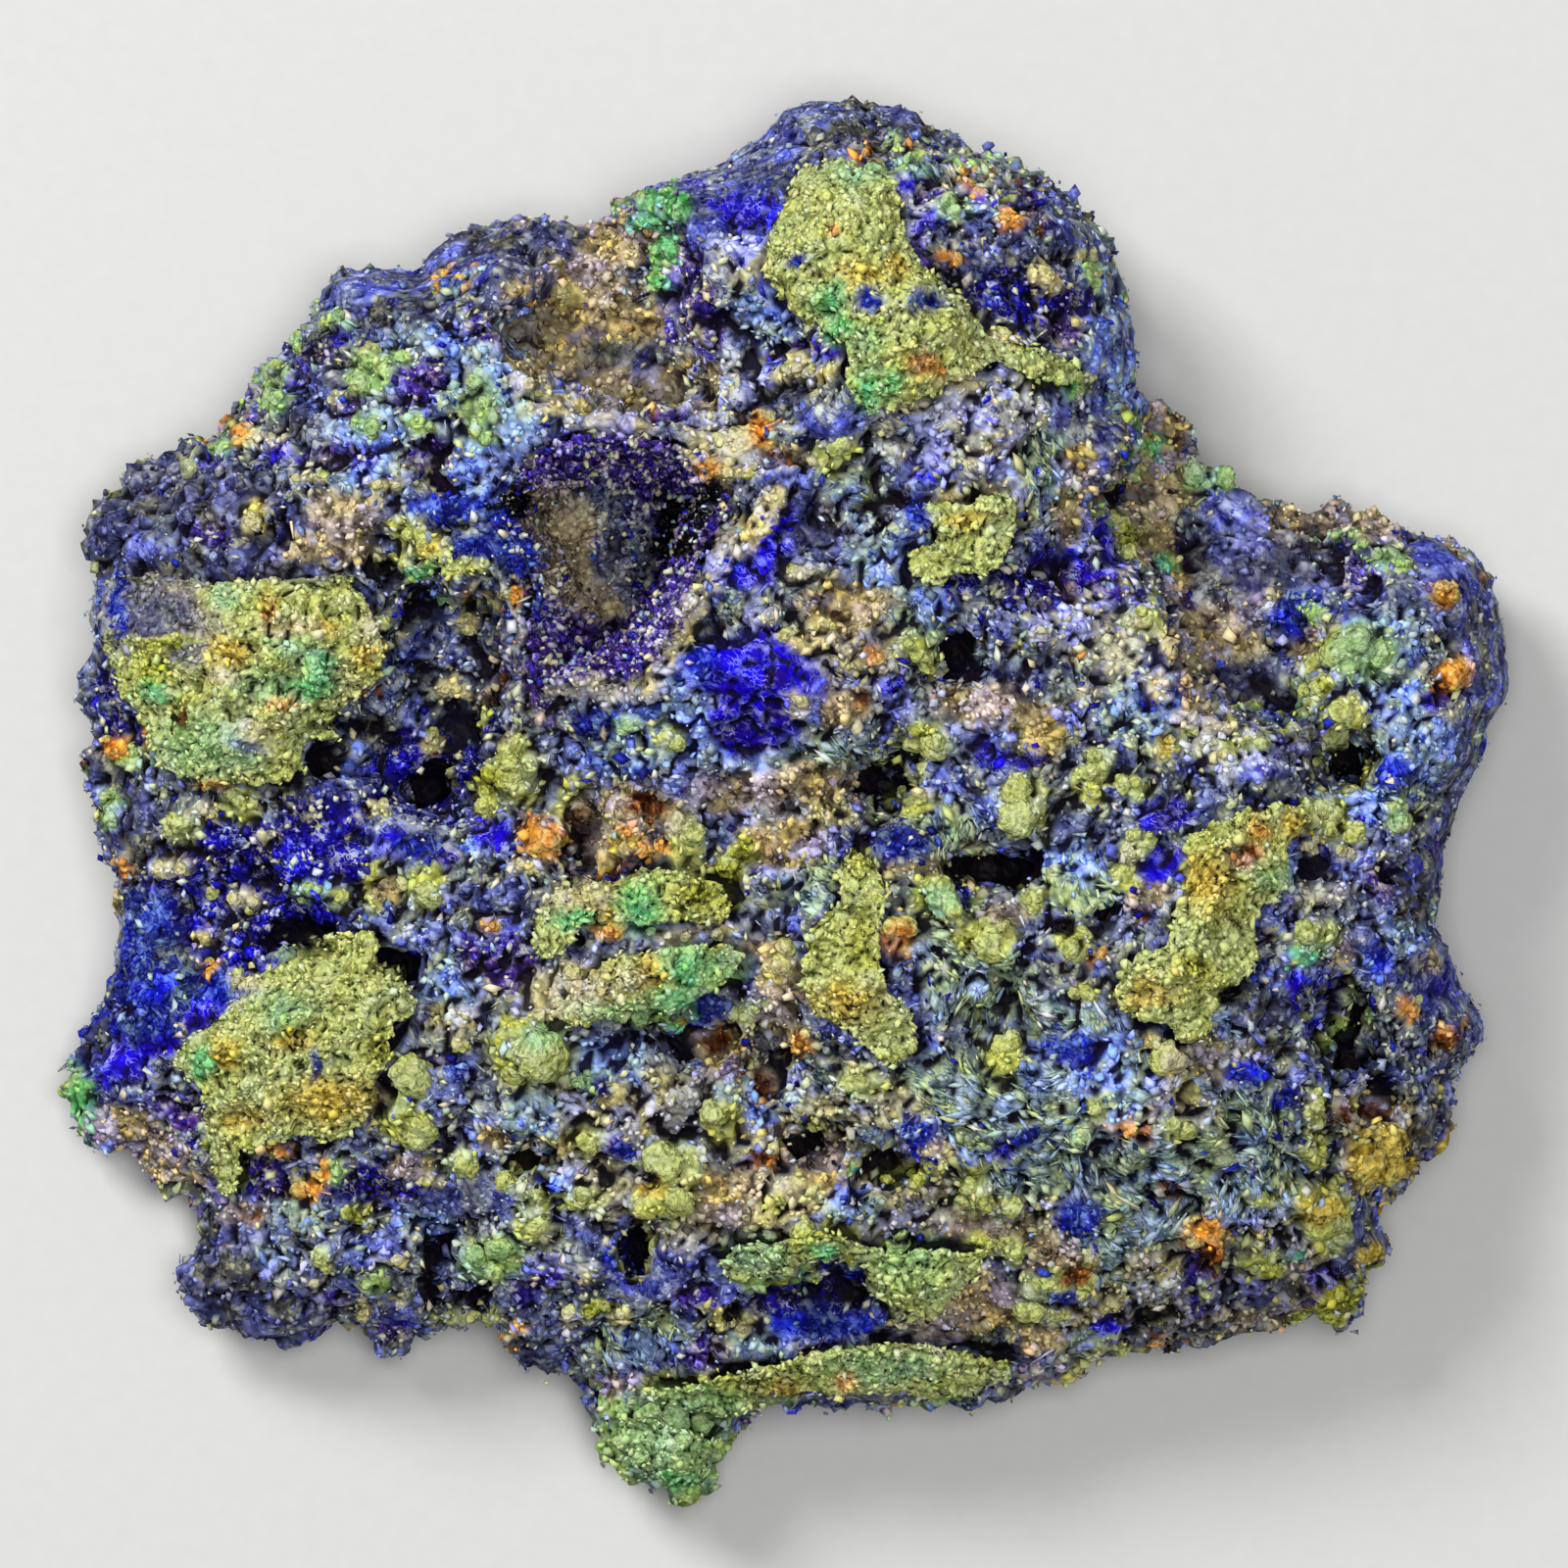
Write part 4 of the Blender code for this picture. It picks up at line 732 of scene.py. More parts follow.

# %% [markdown]
# ## Painted shade in the hollows
#
# Crevices in a specimen are dark, as light hardly reaches them, and that shade is painted into
# their colour. To find them, the points are averaged with their neighbours again and again,
# which gives a calm surface, and a point that lies below it is in a hollow. Pale brown rock gets
# about half of the painted shade, since it scatters light into its own crevices. The number is
# kept on the mesh as an attribute, beside the marks of the mineral, so that the material can read
# them all. Tones above a limit are scaled down as a whole, which keeps their hue.

# %% Hollows and attributes
def averaged(points, mesh, rounds):
    """Points averaged with their neighbours, over and over."""
    edges = np.empty(len(mesh.edges) * 2, np.int32)
    mesh.edges.foreach_get("vertices", edges)
    a, b = edges.reshape(-1, 2).T
    count = np.bincount(a, minlength=len(points)) + np.bincount(b, minlength=len(points))
    calm = points.copy()
    for _ in range(rounds):
        for k in range(3):
            near = np.bincount(a, calm[b, k], len(points)) + np.bincount(b, calm[a, k], len(points))
            calm[:, k] = 0.4 * calm[:, k] + 0.6 * near / np.maximum(count, 1)
    return calm


def hollowness(mesh, fine, coarse):
    """How deep each point lies in a crease or a hollow, from 0 to 1."""
    points = places(mesh)
    ways = facings(mesh)
    near = averaged(points, mesh, fine)
    far = averaged(near, mesh, coarse)
    crease = np.einsum("ij,ij->i", near - points, ways) / CREASE_DEEP
    hollow = np.einsum("ij,ij->i", far - points, ways) / HOLLOW_DEEP
    return np.clip(np.maximum(crease, hollow) - 0.1, 0, 1)


def note(mesh, name, values, kind="FLOAT"):
    """Keeps one value per point on the mesh, for the material to read."""
    layer = mesh.attributes.new(name, kind, "POINT")
    if kind == "FLOAT":
        layer.data.foreach_set("value", values.astype(np.float32))
        return
    colours = np.ones((len(values), 4), np.float32)
    colours[:, :3] = values
    layer.data.foreach_set("color", colours.ravel())


def note_marks(mesh, marks):
    """Keeps the tones, none of them too bright, and the lean and veins of each point."""
    for k, name in enumerate(("dark", "middle", "light")):
        tone = marks[:, 3 * k:3 * k + 3]
        tone = tone / np.maximum(tone[:, 1:2] / BRIGHTEST, 1)
        note(mesh, name, tone, "FLOAT_COLOR")
    note(mesh, "lean", marks[:, LEAN])
    note(mesh, "veins", marks[:, VEINS])


def paint(piece, bare, soft, gap_shade=0):
    """Notes the marks and the hollows on a piece and lets it ride with the specimen."""
    marks, _ = minerals(places(piece.data), bare, soft)
    note_marks(piece.data, marks)
    # The hollow becomes painted shade in the material: creases, hollows and the gaps along the crusts.
    hollow = np.maximum(hollowness(piece.data, FINE_ROUNDS, COARSE_ROUNDS), gap_shade)
    pale = cover(places(piece.data), PATCHES["tan"] + PATCHES["umber"])
    note(piece.data, "hollow", hollow * (1 - PALE_ROCK * pale))
    piece.data.polygons.foreach_set("use_smooth", np.ones(len(piece.data.polygons), bool))
    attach(piece, "root")


FINE_ROUNDS = 3
COARSE_ROUNDS = 36
CREASE_DEEP = 0.16    # depth in mm at which a crease is fully dark
HOLLOW_DEEP = 0.75    # the same for a hollow
BRIGHTEST = 0.51      # the most green that a tone may have, in linear light
PALE_ROCK = 0.55      # share of the painted shade in hollows that pale rock is spared
# The gaps along the crusts get painted shade through the hollows.
paint(body, "slate", soft=0.4, gap_shade=body_gaps)
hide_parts("azurite_mass")
for piece in crusts:
    paint(piece, "lime", soft=1.0)
paint(druse, "deep", soft=0.5)
print("points painted:", sum(len(piece.data.vertices) for piece in [body, druse, *crusts]))

# %% [markdown]
# ## Shapes for the crystals
#
# A handful of small shapes is enough, because size, lean and turn make each copy look different.
# There is a double pyramid for chips, a block for grains of rock, a splinter that lies on its
# side for the fibrous parts, a prism for the hollow, and a lump that later gets domes of its
# own. The chips have 8 triangles, since tens of thousands of them are joined.

# %% Crystal shapes
def arrays(bm):
    """A small shape as arrays: its points and its triangles."""
    bmesh.ops.triangulate(bm, faces=bm.faces)
    bm.verts.index_update()
    points = np.array([tuple(v.co) for v in bm.verts])
    faces = np.array([[v.index for v in f.verts] for f in bm.faces])
    bm.free()
    return points, faces


def tapered(segments, top, turn=(1, 0, 0), angle=0.0):
    """A prism one unit long that narrows to one end, turned about an axis."""
    bm = bmesh.new()
    bmesh.ops.create_cone(
        bm, cap_ends=True, segments=segments, radius1=0.5, radius2=0.5 * top, depth=1
    )
    matrix = Matrix.Rotation(angle, 3, turn)
    bmesh.ops.rotate(bm, verts=bm.verts, cent=(0, 0, 0), matrix=matrix)
    return arrays(bm)


def chip():
    """Two pyramids base to base, a little crooked."""
    bm = bmesh.new()
    tips = [(0.5, 0.05, 0.08), (-0.5, -0.08, 0), (0.06, 0.5, -0.1), (-0.05, -0.5, 0.06)]
    round_it = [bm.verts.new(tip) for tip in tips]
    top = bm.verts.new((0.1, -0.06, 0.5))
    low = bm.verts.new((-0.08, 0.1, -0.5))
    for a, b in ((0, 2), (2, 1), (1, 3), (3, 0)):
        bm.faces.new((round_it[a], round_it[b], top))
        bm.faces.new((round_it[b], round_it[a], low))
    bmesh.ops.recalc_face_normals(bm, faces=bm.faces)
    return arrays(bm)


def lump():
    """A ball with enough faces to be dented."""
    bm = bmesh.new()
    bmesh.ops.create_icosphere(bm, subdivisions=3, radius=0.5)
    return arrays(bm)


SHAPES = {
    "chip": chip(),
    "block": tapered(4, 0.62, (0.6, 0.8, 0), 0.3),
    "splinter": tapered(3, 0.3, (1, 0, 0), 1.5708),
    "prism": tapered(5, 0.5),
    "lump": lump(),
}
print("triangles:", {name: len(shape[1]) for name, shape in SHAPES.items()})

# %% [markdown]
# ## Seats for the crystals
#
# A crystal is seeded on a point of the dense mesh that is picked by chance. As the points are
# spaced evenly, that spreads the crystals evenly. A seat under a crust would never be seen, or
# worse, its crystal would stick out through the crust, so a ray is sent out from each seat and
# the seat is dropped when the ray meets something close by. Few crystals grow deep in a crevice.

# %% Seats
def hollows_of(mesh):
    """The hollows noted on a mesh."""
    found = np.empty(len(mesh.vertices), np.float32)
    mesh.attributes["hollow"].data.foreach_get("value", found)
    return found.astype(float)


def in_the_open(middles, normals, tree, reach):
    """True for each seat that nothing lies close above."""
    free = np.ones(len(middles), bool)
    for i, (middle, normal) in enumerate(zip(middles, normals)):
        start = Vector(middle + normal * CLEARANCE)
        free[i] = tree.ray_cast(start, Vector(normal), reach)[0] is None
    return free


def seats(piece, share, tree, reach, lowest):
    """Places, normals and hollows of seats picked by chance, none under another piece."""
    points = places(piece.data)
    normals = facings(piece.data)
    hollows = hollows_of(piece.data)
    keep = rng.random(len(points)) < share * (1 - CREVICE_BARE * hollows)
    keep &= (points[:, 2] > LOWEST_SEAT) & (normals[:, 2] > lowest)
    points, normals, hollows = points[keep], normals[keep], hollows[keep]
    points = points + rng.normal(0, SEAT_SCATTER, points.shape)
    free = in_the_open(points, normals, tree, reach)
    return points[free], normals[free], hollows[free]


CLEARANCE = 0.15      # mm above the surface at which a ray starts
CREVICE_BARE = 0.8    # share of the seats that the deepest crevices lose
LOWEST_SEAT = 1.5     # mm above the table
SEAT_SCATTER = 0.13   # mm
found = seats(body, share=1.0, tree=crust_tree, reach=2.2, lowest=-0.45)
body_seats, body_normals, body_hollows = found
print("seats on the body:", len(body_seats))

# %% [markdown]
# ## Joining crystals
#
# Thousands of separate objects would be slow, so each kind of crystal becomes one mesh. The
# little shape is repeated as an array, every copy with its own size, direction and place. A copy
# also gets one random number, its tint, and its own small square in the UV map, so that a
# texture baked from the mesh keeps one colour for each crystal. Crystals differ in colour as
# well: each is some percent warmer or cooler, as the clumps are, and a few are specks of another
# mineral. A crystal that stands in a crevice gets the crevice's painted shade.

# %% Join
def frames(normals, tilt, along=None):
    """Three axes for each crystal: across, along and up, leaning by chance from the normal."""
    up = normals + rng.normal(0, tilt, normals.shape)
    up /= np.linalg.norm(up, axis=1)[:, None]
    way = rng.normal(0, 1, up.shape) if along is None else along
    way = way - up * np.einsum("ij,ij->i", way, up)[:, None]
    way /= np.linalg.norm(way, axis=1)[:, None]
    return np.stack([np.cross(way, up), way, up], axis=1)


def own_squares(count, points, faces):
    """UV places that give each crystal a square of its own, half for its upper faces."""
    side = int(np.ceil(np.sqrt(count)))
    flat = np.column_stack((points[:, 0] + 0.43 * points[:, 2], points[:, 1] + 0.57 * points[:, 2]))
    flat = ((flat - flat.min(axis=0)) / np.ptp(flat, axis=0) * 0.8 + 0.1)[faces]
    one, two = flat[:, 1] - flat[:, 0], flat[:, 2] - flat[:, 0]
    under = one[:, 0] * two[:, 1] < one[:, 1] * two[:, 0]
    flat[..., 0] = (flat[..., 0] + under[:, None]) / 2
    corner = np.column_stack((np.arange(count) % side, np.arange(count) // side))
    return ((corner[:, None] + flat.reshape(1, -1, 2)) / side).reshape(-1, 2)


def new_piece(name, points, faces):
    """A piece from arrays: points in millimetres and triangles."""
    mesh = bpy.data.meshes.new(name)
    mesh.vertices.add(len(points))
    mesh.vertices.foreach_set("co", (points * MM).astype(np.float32).ravel())
    mesh.loops.add(faces.size)
    mesh.loops.foreach_set("vertex_index", faces.astype(np.int32).ravel())
    mesh.polygons.add(len(faces))
    mesh.polygons.foreach_set("loop_start", np.arange(0, faces.size, 3, dtype=np.int32))
    mesh.update(calc_edges=True)
    piece = bpy.data.objects.new(name, mesh)
    bpy.context.scene.collection.objects.link(piece)
    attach(piece, "root")
    return piece


def specked(marks, share):
    """Marks where a few crystals belong to another mineral and all differ a little."""
    marks = marks.copy()
    for k in np.flatnonzero(rng.random(len(marks)) < share):
        marks[k] = MARKS[SPECKS[rng.integers(len(SPECKS))]]
    warm = rng.normal(0, SHAKE, (len(marks), 1)) * WARMTH
    bright = rng.normal(0, SHAKE / 2, (len(marks), 3))
    marks[:, :LEAN] *= np.tile(np.exp(warm + bright), 3)
    return marks


def join(name, shape, middles, axes, sizes, sink, bare, hollows, specks=0.0, soft=0.4):
    """One mesh of many crystals, with marks and tint on it."""
    points, faces = SHAPES[shape]
    count = len(middles)
    local = points[None] * sizes[:, None] + np.array([0, 0, 0.5 - sink]) * sizes[:, None]
    moved = np.einsum("nij,nik->njk", local.transpose(0, 2, 1), axes) + middles[:, None]
    moved = kept_in(moved.reshape(-1, 3))
    moved[:, 2] = np.maximum(moved[:, 2], 0.05)
    all_faces = (faces[None] + np.arange(count)[:, None, None] * len(points)).reshape(-1, 3)
    piece = new_piece(name, moved, all_faces)
    layer = piece.data.uv_layers.new(name="OFBake")
    layer.uv.foreach_set("vector", own_squares(count, points, faces).astype(np.float32).ravel())
    marks, _ = minerals(middles + rng.normal(0, 0.25, middles.shape), bare, soft)
    marks = specked(marks, specks)
    # Painted shade: a crystal in a crevice is darkened as the crevice is.
    marks[:, :LEAN] *= (1 - CRYSTAL_SHADE * hollows)[:, None]
    note_marks(piece.data, np.repeat(marks, len(points), axis=0))
    note(piece.data, "tint", np.repeat(rng.random(count), len(points)))
    print(name, count, "crystals,", len(all_faces), "triangles")
    return piece


SPECKS = ("cream", "crest", "frost", "drab", "steel", "lavender", "teal", "indigo")
SHAKE = 0.09            # how much warmer or cooler one crystal is than the next
CRYSTAL_SHADE = 0.92    # how dark a crystal in the deepest crevice gets
print("minerals that specks are made of:", len(SPECKS))

# %% [markdown]
# ## Growing the crystals
#
# What grows on a seat follows the mineral there. Chips of about half a millimetre cover most of
# the azurite, with splinters between them, the fibrous lower right grows splinters that all lean
# the same way, and the royal velvet is fine needles. On steep walls crystals are fewer and stay
# small, so that the outline of the specimen isn't furry.

# %% Kinds of crystal
def fibres(places):
    """The way each splinter lies: down to the right, swinging slowly from place to place."""
    angles = np.array([noise.noise(Vector(place) / FIBRE_SWING) for place in places])
    angles = angles * FIBRE_TURN - FIBRE_ANGLE + rng.normal(0, 0.25, len(places))
    return np.column_stack((np.cos(angles), np.sin(angles), np.full(len(places), 0.1)))


FIBRE_ANGLE = 0.74       # radians below the right
FIBRE_SWING = 5.0        # mm over which the fibres turn
FIBRE_TURN = 1.6
STEEP = 0.35             # upward share of the normal below which fewer crystals grow
STEEP_SHARE = 0.25       # share of them that still grows there
SHRINK_FROM = 0.5        # upward share of the normal below which crystals get smaller
SHRINK = 0.55            # how much smaller they are on an upright wall
SINK = 0.42              # share of its height that a crystal is sunk in
SPREAD = 0.36            # how much the crystals of one kind differ in size
UNEVEN = (0.65, 1.4)     # the least and the most that each side of one is stretched
FEW_SPECKS = 0.03
SPECK_SHARES = {"slate_chips": 0.1, "frost_chips": 0.1, "teal_chips": 0.1, "sparkling_chips": 0.22}
KINDS = {
    # name: (shape, minerals, first and last draw, size in mm, tilt)
    "slate_chips": ("chip", ("slate", "steel"), (0.0, 0.65), (0.4, 0.62, 0.28), 0.35),
    "slate_splinters": ("splinter", ("slate", "steel"), (0.8, 0.95), (0.22, 0.6, 0.2), 0.2),
    "frost_chips": ("chip", ("frost", "lavender", "crest"), (0.0, 0.7), (0.42, 0.6, 0.3), 0.35),
    "teal_splinters": ("splinter", ("teal",), (0.0, 0.25), (0.26, 0.7, 0.22), 0.15),
    "teal_chips": ("chip", ("teal",), (0.3, 0.9), (0.36, 0.85, 0.22), 0.2),
    "violet_chips": ("chip", ("violet",), (0.0, 0.6), (0.3, 0.42, 0.2), 0.25),
    "sparkling_chips": (
        "chip", ("deep", "indigo", "starry", "pit_shade"), (0.0, 0.65), (0.4, 0.56, 0.32), 0.4
    ),
    "royal_needles": ("splinter", ("royal",), (0.0, 0.35), (0.09, 0.4, 0.09), 0.4),
    "rock_grains": ("block", ("umber", "tan", "rust", "drab"), (0.0, 0.65), (0.36, 0.5, 0.26), 0.3),
    "grey_grains": ("block", ("ash",), (0.0, 0.45), (0.3, 0.4, 0.2), 0.2),
    "green_chips": (
        "chip", ("lime", "olive", "ochre", "cream", "mint", "jade", "orange"),
        (0.0, 0.45), (0.42, 0.56, 0.28), 0.35
    ),
}
_, seat_top = minerals(body_seats, "slate")
draw = rng.random(len(body_seats))
grown = {}
for name, (shape, kinds, (first, last), size, tilt) in KINDS.items():
    chosen = np.isin(seat_top, [NAMES.index(kind) for kind in kinds])
    stop = np.where(body_normals[:, 2] < STEEP, first + STEEP_SHARE * (last - first), last)
    chosen &= (draw >= first) & (draw < stop)
    middles, normals, hollows = body_seats[chosen], body_normals[chosen], body_hollows[chosen]
    steep = np.clip(1 - np.maximum(normals[:, 2:3], 0) / SHRINK_FROM, 0, 1)
    sizes = np.array(size) * np.exp(rng.normal(0, SPREAD, (len(middles), 1)).clip(-0.7, 0.7))
    sizes = sizes * rng.uniform(*UNEVEN, sizes.shape) * (1 - SHRINK * steep)
    along = fibres(middles) if name.startswith("teal") else None
    axes = frames(normals, tilt, along)
    specks = SPECK_SHARES.get(name, FEW_SPECKS)
    grown[name] = join(name, shape, middles, axes, sizes, SINK, "slate", hollows, specks)

# %% [markdown]
# ## Chips on the crusts and in the hollow
#
# The crusts carry chips of malachite of several sizes, which break up their smooth domes, and
# the hollow's lining gets small prisms that stand up from it. Only a quarter of the prisms on
# the brown rock in the hollow are kept, so that the rock shows.

# %% Chips on the crusts
found = [seats(piece, share=0.1, tree=body_tree, reach=1.0, lowest=-0.3) for piece in crusts]
middles, normals, hollows = (np.concatenate(part) for part in zip(*found))
sizes = np.array((0.38, 0.54, 0.22)) * np.exp(rng.normal(0, 0.34, (len(middles), 1)))
axes = frames(normals, 0.35)
grown["crust_chips"] = join(
    "crust_chips", "chip", middles, axes, sizes, sink=0.62, bare="lime", hollows=hollows, soft=1.0
)

# %% Crystals in the hollow
KEPT_ON_ROCK = 0.25
SHADE_IN_HOLLOW = 0.1    # the hollow is dark already, so its crevices count for little
middles, normals, hollows = seats(druse, share=0.2, tree=body_tree, reach=0.5, lowest=-0.2)
_, lining_top = minerals(middles, "deep")
clear = (lining_top != NAMES.index("umber")) | (rng.random(len(middles)) < KEPT_ON_ROCK)
middles, normals, hollows = middles[clear], normals[clear], hollows[clear]
sizes = np.array((0.36, 0.36, 0.38)) * np.exp(rng.normal(0, 0.35, (len(middles), 1)).clip(-0.6, 0.5))
axes = frames(normals, 0.5)
grown["hollow_crystals"] = join(
    "hollow_crystals", "prism", middles, axes, sizes, sink=0.3, bare="deep",
    hollows=hollows * SHADE_IN_HOLLOW, specks=0.26
)

# %% [markdown]
# ## Knobs of malachite
#
# Between the crusts malachite grows as small knobs, one to four millimetres wide. Each green,
# yellow, orange or cream patch that lies on the body is heaped up from a few lumps: a ray is
# dropped from above on every lump's place, and the lump is set where the ray meets the body.
# Domes of a millimetre and less then dent the lumps, so that they look grown, not turned.

# %% Knobs
def knob_places(x, y, wide, tall):
    """Places and sizes, in millimetres, of the lumps that fill one patch."""
    across = np.clip(1.15 * min(wide, tall), *LUMP_WIDTHS)
    count = max(1, round(wide * tall / (0.5 * across) ** 2 * LUMPS_FILL))
    angle = rng.uniform(0, 2 * np.pi, count)
    out = np.sqrt(rng.random(count)) * 0.8
    widths = across * np.exp(rng.normal(0, 0.18, count))
    return np.column_stack((x + wide * out * np.cos(angle), y + tall * out * np.sin(angle), widths))


def dropped(spots):
    """The spots on the body below each place, with normals, without those under a crust."""
    kept = []
    for x, y, wide in spots:
        start = Vector((x, y, 60.0))
        hit, normal, _, far = body_tree.ray_cast(start, Vector((0, 0, -1)))
        above = crust_tree.ray_cast(start, Vector((0, 0, -1)))[3]
        if hit is not None and hit.z > 2 and (above is None or above > far):
            kept.append((*hit, *normal, wide))
    return np.array(kept)


def heap(name, knobs):
    """One mesh of dented lumps, painted by the minerals round each of its points."""
    ball, faces = SHAPES["lump"]
    count = len(knobs)
    sizes = knobs[:, 6:7] * rng.uniform(0.75, 1.25, (count, 3)) * KNOB_FLAT
    axes = frames(knobs[:, 3:6], 0.25)
    local = ball[None] * sizes[:, None]
    away = np.einsum("nij,nik->njk", local.transpose(0, 2, 1), axes)
    middles = knobs[:, :3] + knobs[:, 3:6] * knobs[:, 6:7] * KNOB_LIFT
    spread = (middles[:, None] + away).reshape(-1, 3)
    dents = domes(spread, size=0.9, seed=4.4) * 0.5 + domes(spread, size=0.4, seed=8.8) * 0.5
    moved = middles[:, None] + away * (KNOB_CORE + KNOB_DENT * dents.reshape(count, -1, 1))
    moved = kept_in(moved.reshape(-1, 3))
    all_faces = (faces[None] + np.arange(count)[:, None, None] * len(ball)).reshape(-1, 3)
    piece = new_piece(name, moved, all_faces)
    marks, _ = minerals(moved, "lime", 0.7)
    shades = np.repeat(np.exp(rng.normal(0, 0.12, (count, 1))), len(ball), axis=0)
    marks[:, :LEAN] *= shades
    note_marks(piece.data, marks)
    # Painted shade in the creases between the dents.
    note(piece.data, "hollow", np.clip(0.5 - 1.3 * dents, 0, 1))
    piece.data.polygons.foreach_set("use_smooth", np.ones(len(all_faces), bool))
    print(name, count, "lumps,", len(all_faces), "triangles")
    return piece


KNOB_LIFT = 0.06     # how far a lump's middle stands above the body, as a share of its width
KNOB_CORE = 0.68     # share of its size that the dents leave
KNOB_DENT = 0.62
KNOB_FLAT = np.array((1.08, 1.08, 0.8))
LUMP_WIDTHS = (0.7, 1.9)    # mm, the least and the most
LUMPS_FILL = 0.62    # share of a patch that its lumps fill
KNOBS_MOST = 620
KNOB_MINERALS = ("lime", "cream", "mint", "jade", "orange", "ochre", "olive")
spots = np.vstack([knob_places(*patch) for name in KNOB_MINERALS for patch in PATCHES[name]])
knobs = dropped(spots)
print("lumps wanted:", len(knobs))
knobs = knobs[rng.permutation(len(knobs))[:KNOBS_MOST]]
knob_heap = heap("malachite_knobs", knobs)

# %% [markdown]
# ## Writing shader maths in Python
#
# A material is a tree of nodes, and wiring each by hand hides the idea. One small class wraps a
# socket, so that an expression such as 1 - mask adds the Math nodes itself, and one method makes
# every other kind of node: its type, its settings, then its sockets.

# %% Sockets that add up
class Shade:
    """A socket of a material's nodes. Sums on it add Math nodes."""

    def __init__(self, tree, socket=None):
        self.tree = tree
        self.socket = socket

    def node(self, kind, settings, inputs, output=0):
        """Any node: its type, its settings, and its sockets' values or links."""
        made = self.tree.nodes.new("ShaderNode" + kind)
        for name, value in settings.items():
            setattr(made, name, value)
        for name, value in inputs.items():
            if isinstance(value, Shade):
                self.tree.links.new(value.socket, made.inputs[name])
            else:
                made.inputs[name].default_value = value
        return Shade(self.tree, made.outputs[output])

    def also(self, output):
        """Another output of the node this socket is on."""
        return Shade(self.tree, self.socket.node.outputs[output])

    def sum(self, operation, first, second):
        """A Math node of two numbers."""
        return self.node("Math", {"operation": operation}, {0: first, 1: second})

    def __add__(self, other):
        return self.sum("ADD", self, other)

    def __sub__(self, other):
        return self.sum("SUBTRACT", self, other)

    def __rsub__(self, other):
        return self.sum("SUBTRACT", other, self)

    def __mul__(self, other):
        return self.sum("MULTIPLY", self, other)

    def __pow__(self, other):
        return self.sum("POWER", self, other)

    def size(self):
        """This number without its sign."""
        return self.sum("ABSOLUTE", self, 0)

    def noted(self, name):
        """A number kept on the mesh."""
        return self.node("Attribute", {"attribute_name": name}, {}, "Fac")

    def noted_colour(self, name):
        """A colour kept on the mesh."""
        return self.node("Attribute", {"attribute_name": name}, {}, "Color")

    def fog(self, where, grain, detail=2.0):
        """Soft noise whose blots are about that many millimetres wide."""
        sockets = {"Vector": where, "Scale": 1 / (grain * MM), "Detail": detail}
        return self.node("TexNoise", {}, sockets, "Fac")

    def spread(self, low, high, to_low=0.0, to_high=1.0):
        """This number stretched from one range to another and held there."""
        ends = {"Value": self, "From Min": low, "From Max": high}
        return self.node("MapRange", {}, {**ends, "To Min": to_low, "To Max": to_high})

    def mix(self, share, first, second):
        """Two colours mixed."""
        made = self.tree.nodes.new("ShaderNodeMix")
        made.data_type = "RGBA"
        for key, value in ((0, share), (6, first), (7, second)):
            if isinstance(value, Shade):
                self.tree.links.new(value.socket, made.inputs[key])
            else:
                made.inputs[key].default_value = value
        return Shade(self.tree, made.outputs[2])

    def into(self, shader, name):
        """Links this socket to one of the shader's."""
        self.tree.links.new(self.socket, shader.inputs[name])


def new_material(name, gloss):
    """An empty material that shines this much, its shader, and a Shade to build on."""
    material = bpy.data.materials.new(name)
    material.use_nodes = True
    tree = material.node_tree
    shader = tree.nodes["Principled BSDF"]
    shader.inputs["Specular IOR Level"].default_value = gloss
    return material, shader, Shade(tree)


GROWN_GLOSS = 0.05
CRYSTAL_GLOSS = 0.16
print("shader helpers ready")

# %% [markdown]
# ## The finish of grown mineral
#
# The body, the crusts, the knobs and the lining share one recipe with different numbers. Two
# Voronoi patterns stand for the grains that are too small to model: each cell picks its own
# tone, and the gaps between cells get painted shade, as shadow gathers there. On the body the
# cells are stretched, because azurite is fibrous. A wider noise makes neighbours alike, so that
# light and dark gather in streaks. Where a noise passes through its middle value it draws thin
# winding lines, the pale veins of the royal velvet. Minerals whose veins are below 0 get painted
# shade in cracks instead, along the borders of larger cells, and in pores: so malachite looks
# crumbly. The cells also feed a bump, and the noted hollows paint shade into the crevices.

# %% Finish of the grown surfaces
# The black that painted shade is mixed towards.
BLACK = (0.003, 0.002, 0.003, 1)


def toned(start, tint):
    """The colour between the three noted tones that a number from 0 to 1 picks."""
    lower = start.mix(tint.spread(0, 0.5), start.noted_colour("dark"), start.noted_colour("middle"))
    return start.mix(tint.spread(0.5, 1), lower, start.noted_colour("light"))


def shadow(start):
    """The noted dark tone, darker still: painted shade for the gaps between grains."""
    return start.mix(GAP_SHADOW, start.noted_colour("dark"), BLACK)


def cells(start, where, grain):
    """Voronoi cells of that many millimetres: the distance to a seed and a random number."""
    sockets = {"Vector": where, "Scale": 1 / (grain * MM)}
    gap = start.node("TexVoronoi", {}, sockets, "Distance")
    return gap, start.node("SeparateColor", {}, {"Color": gap.also("Color")}, 0)


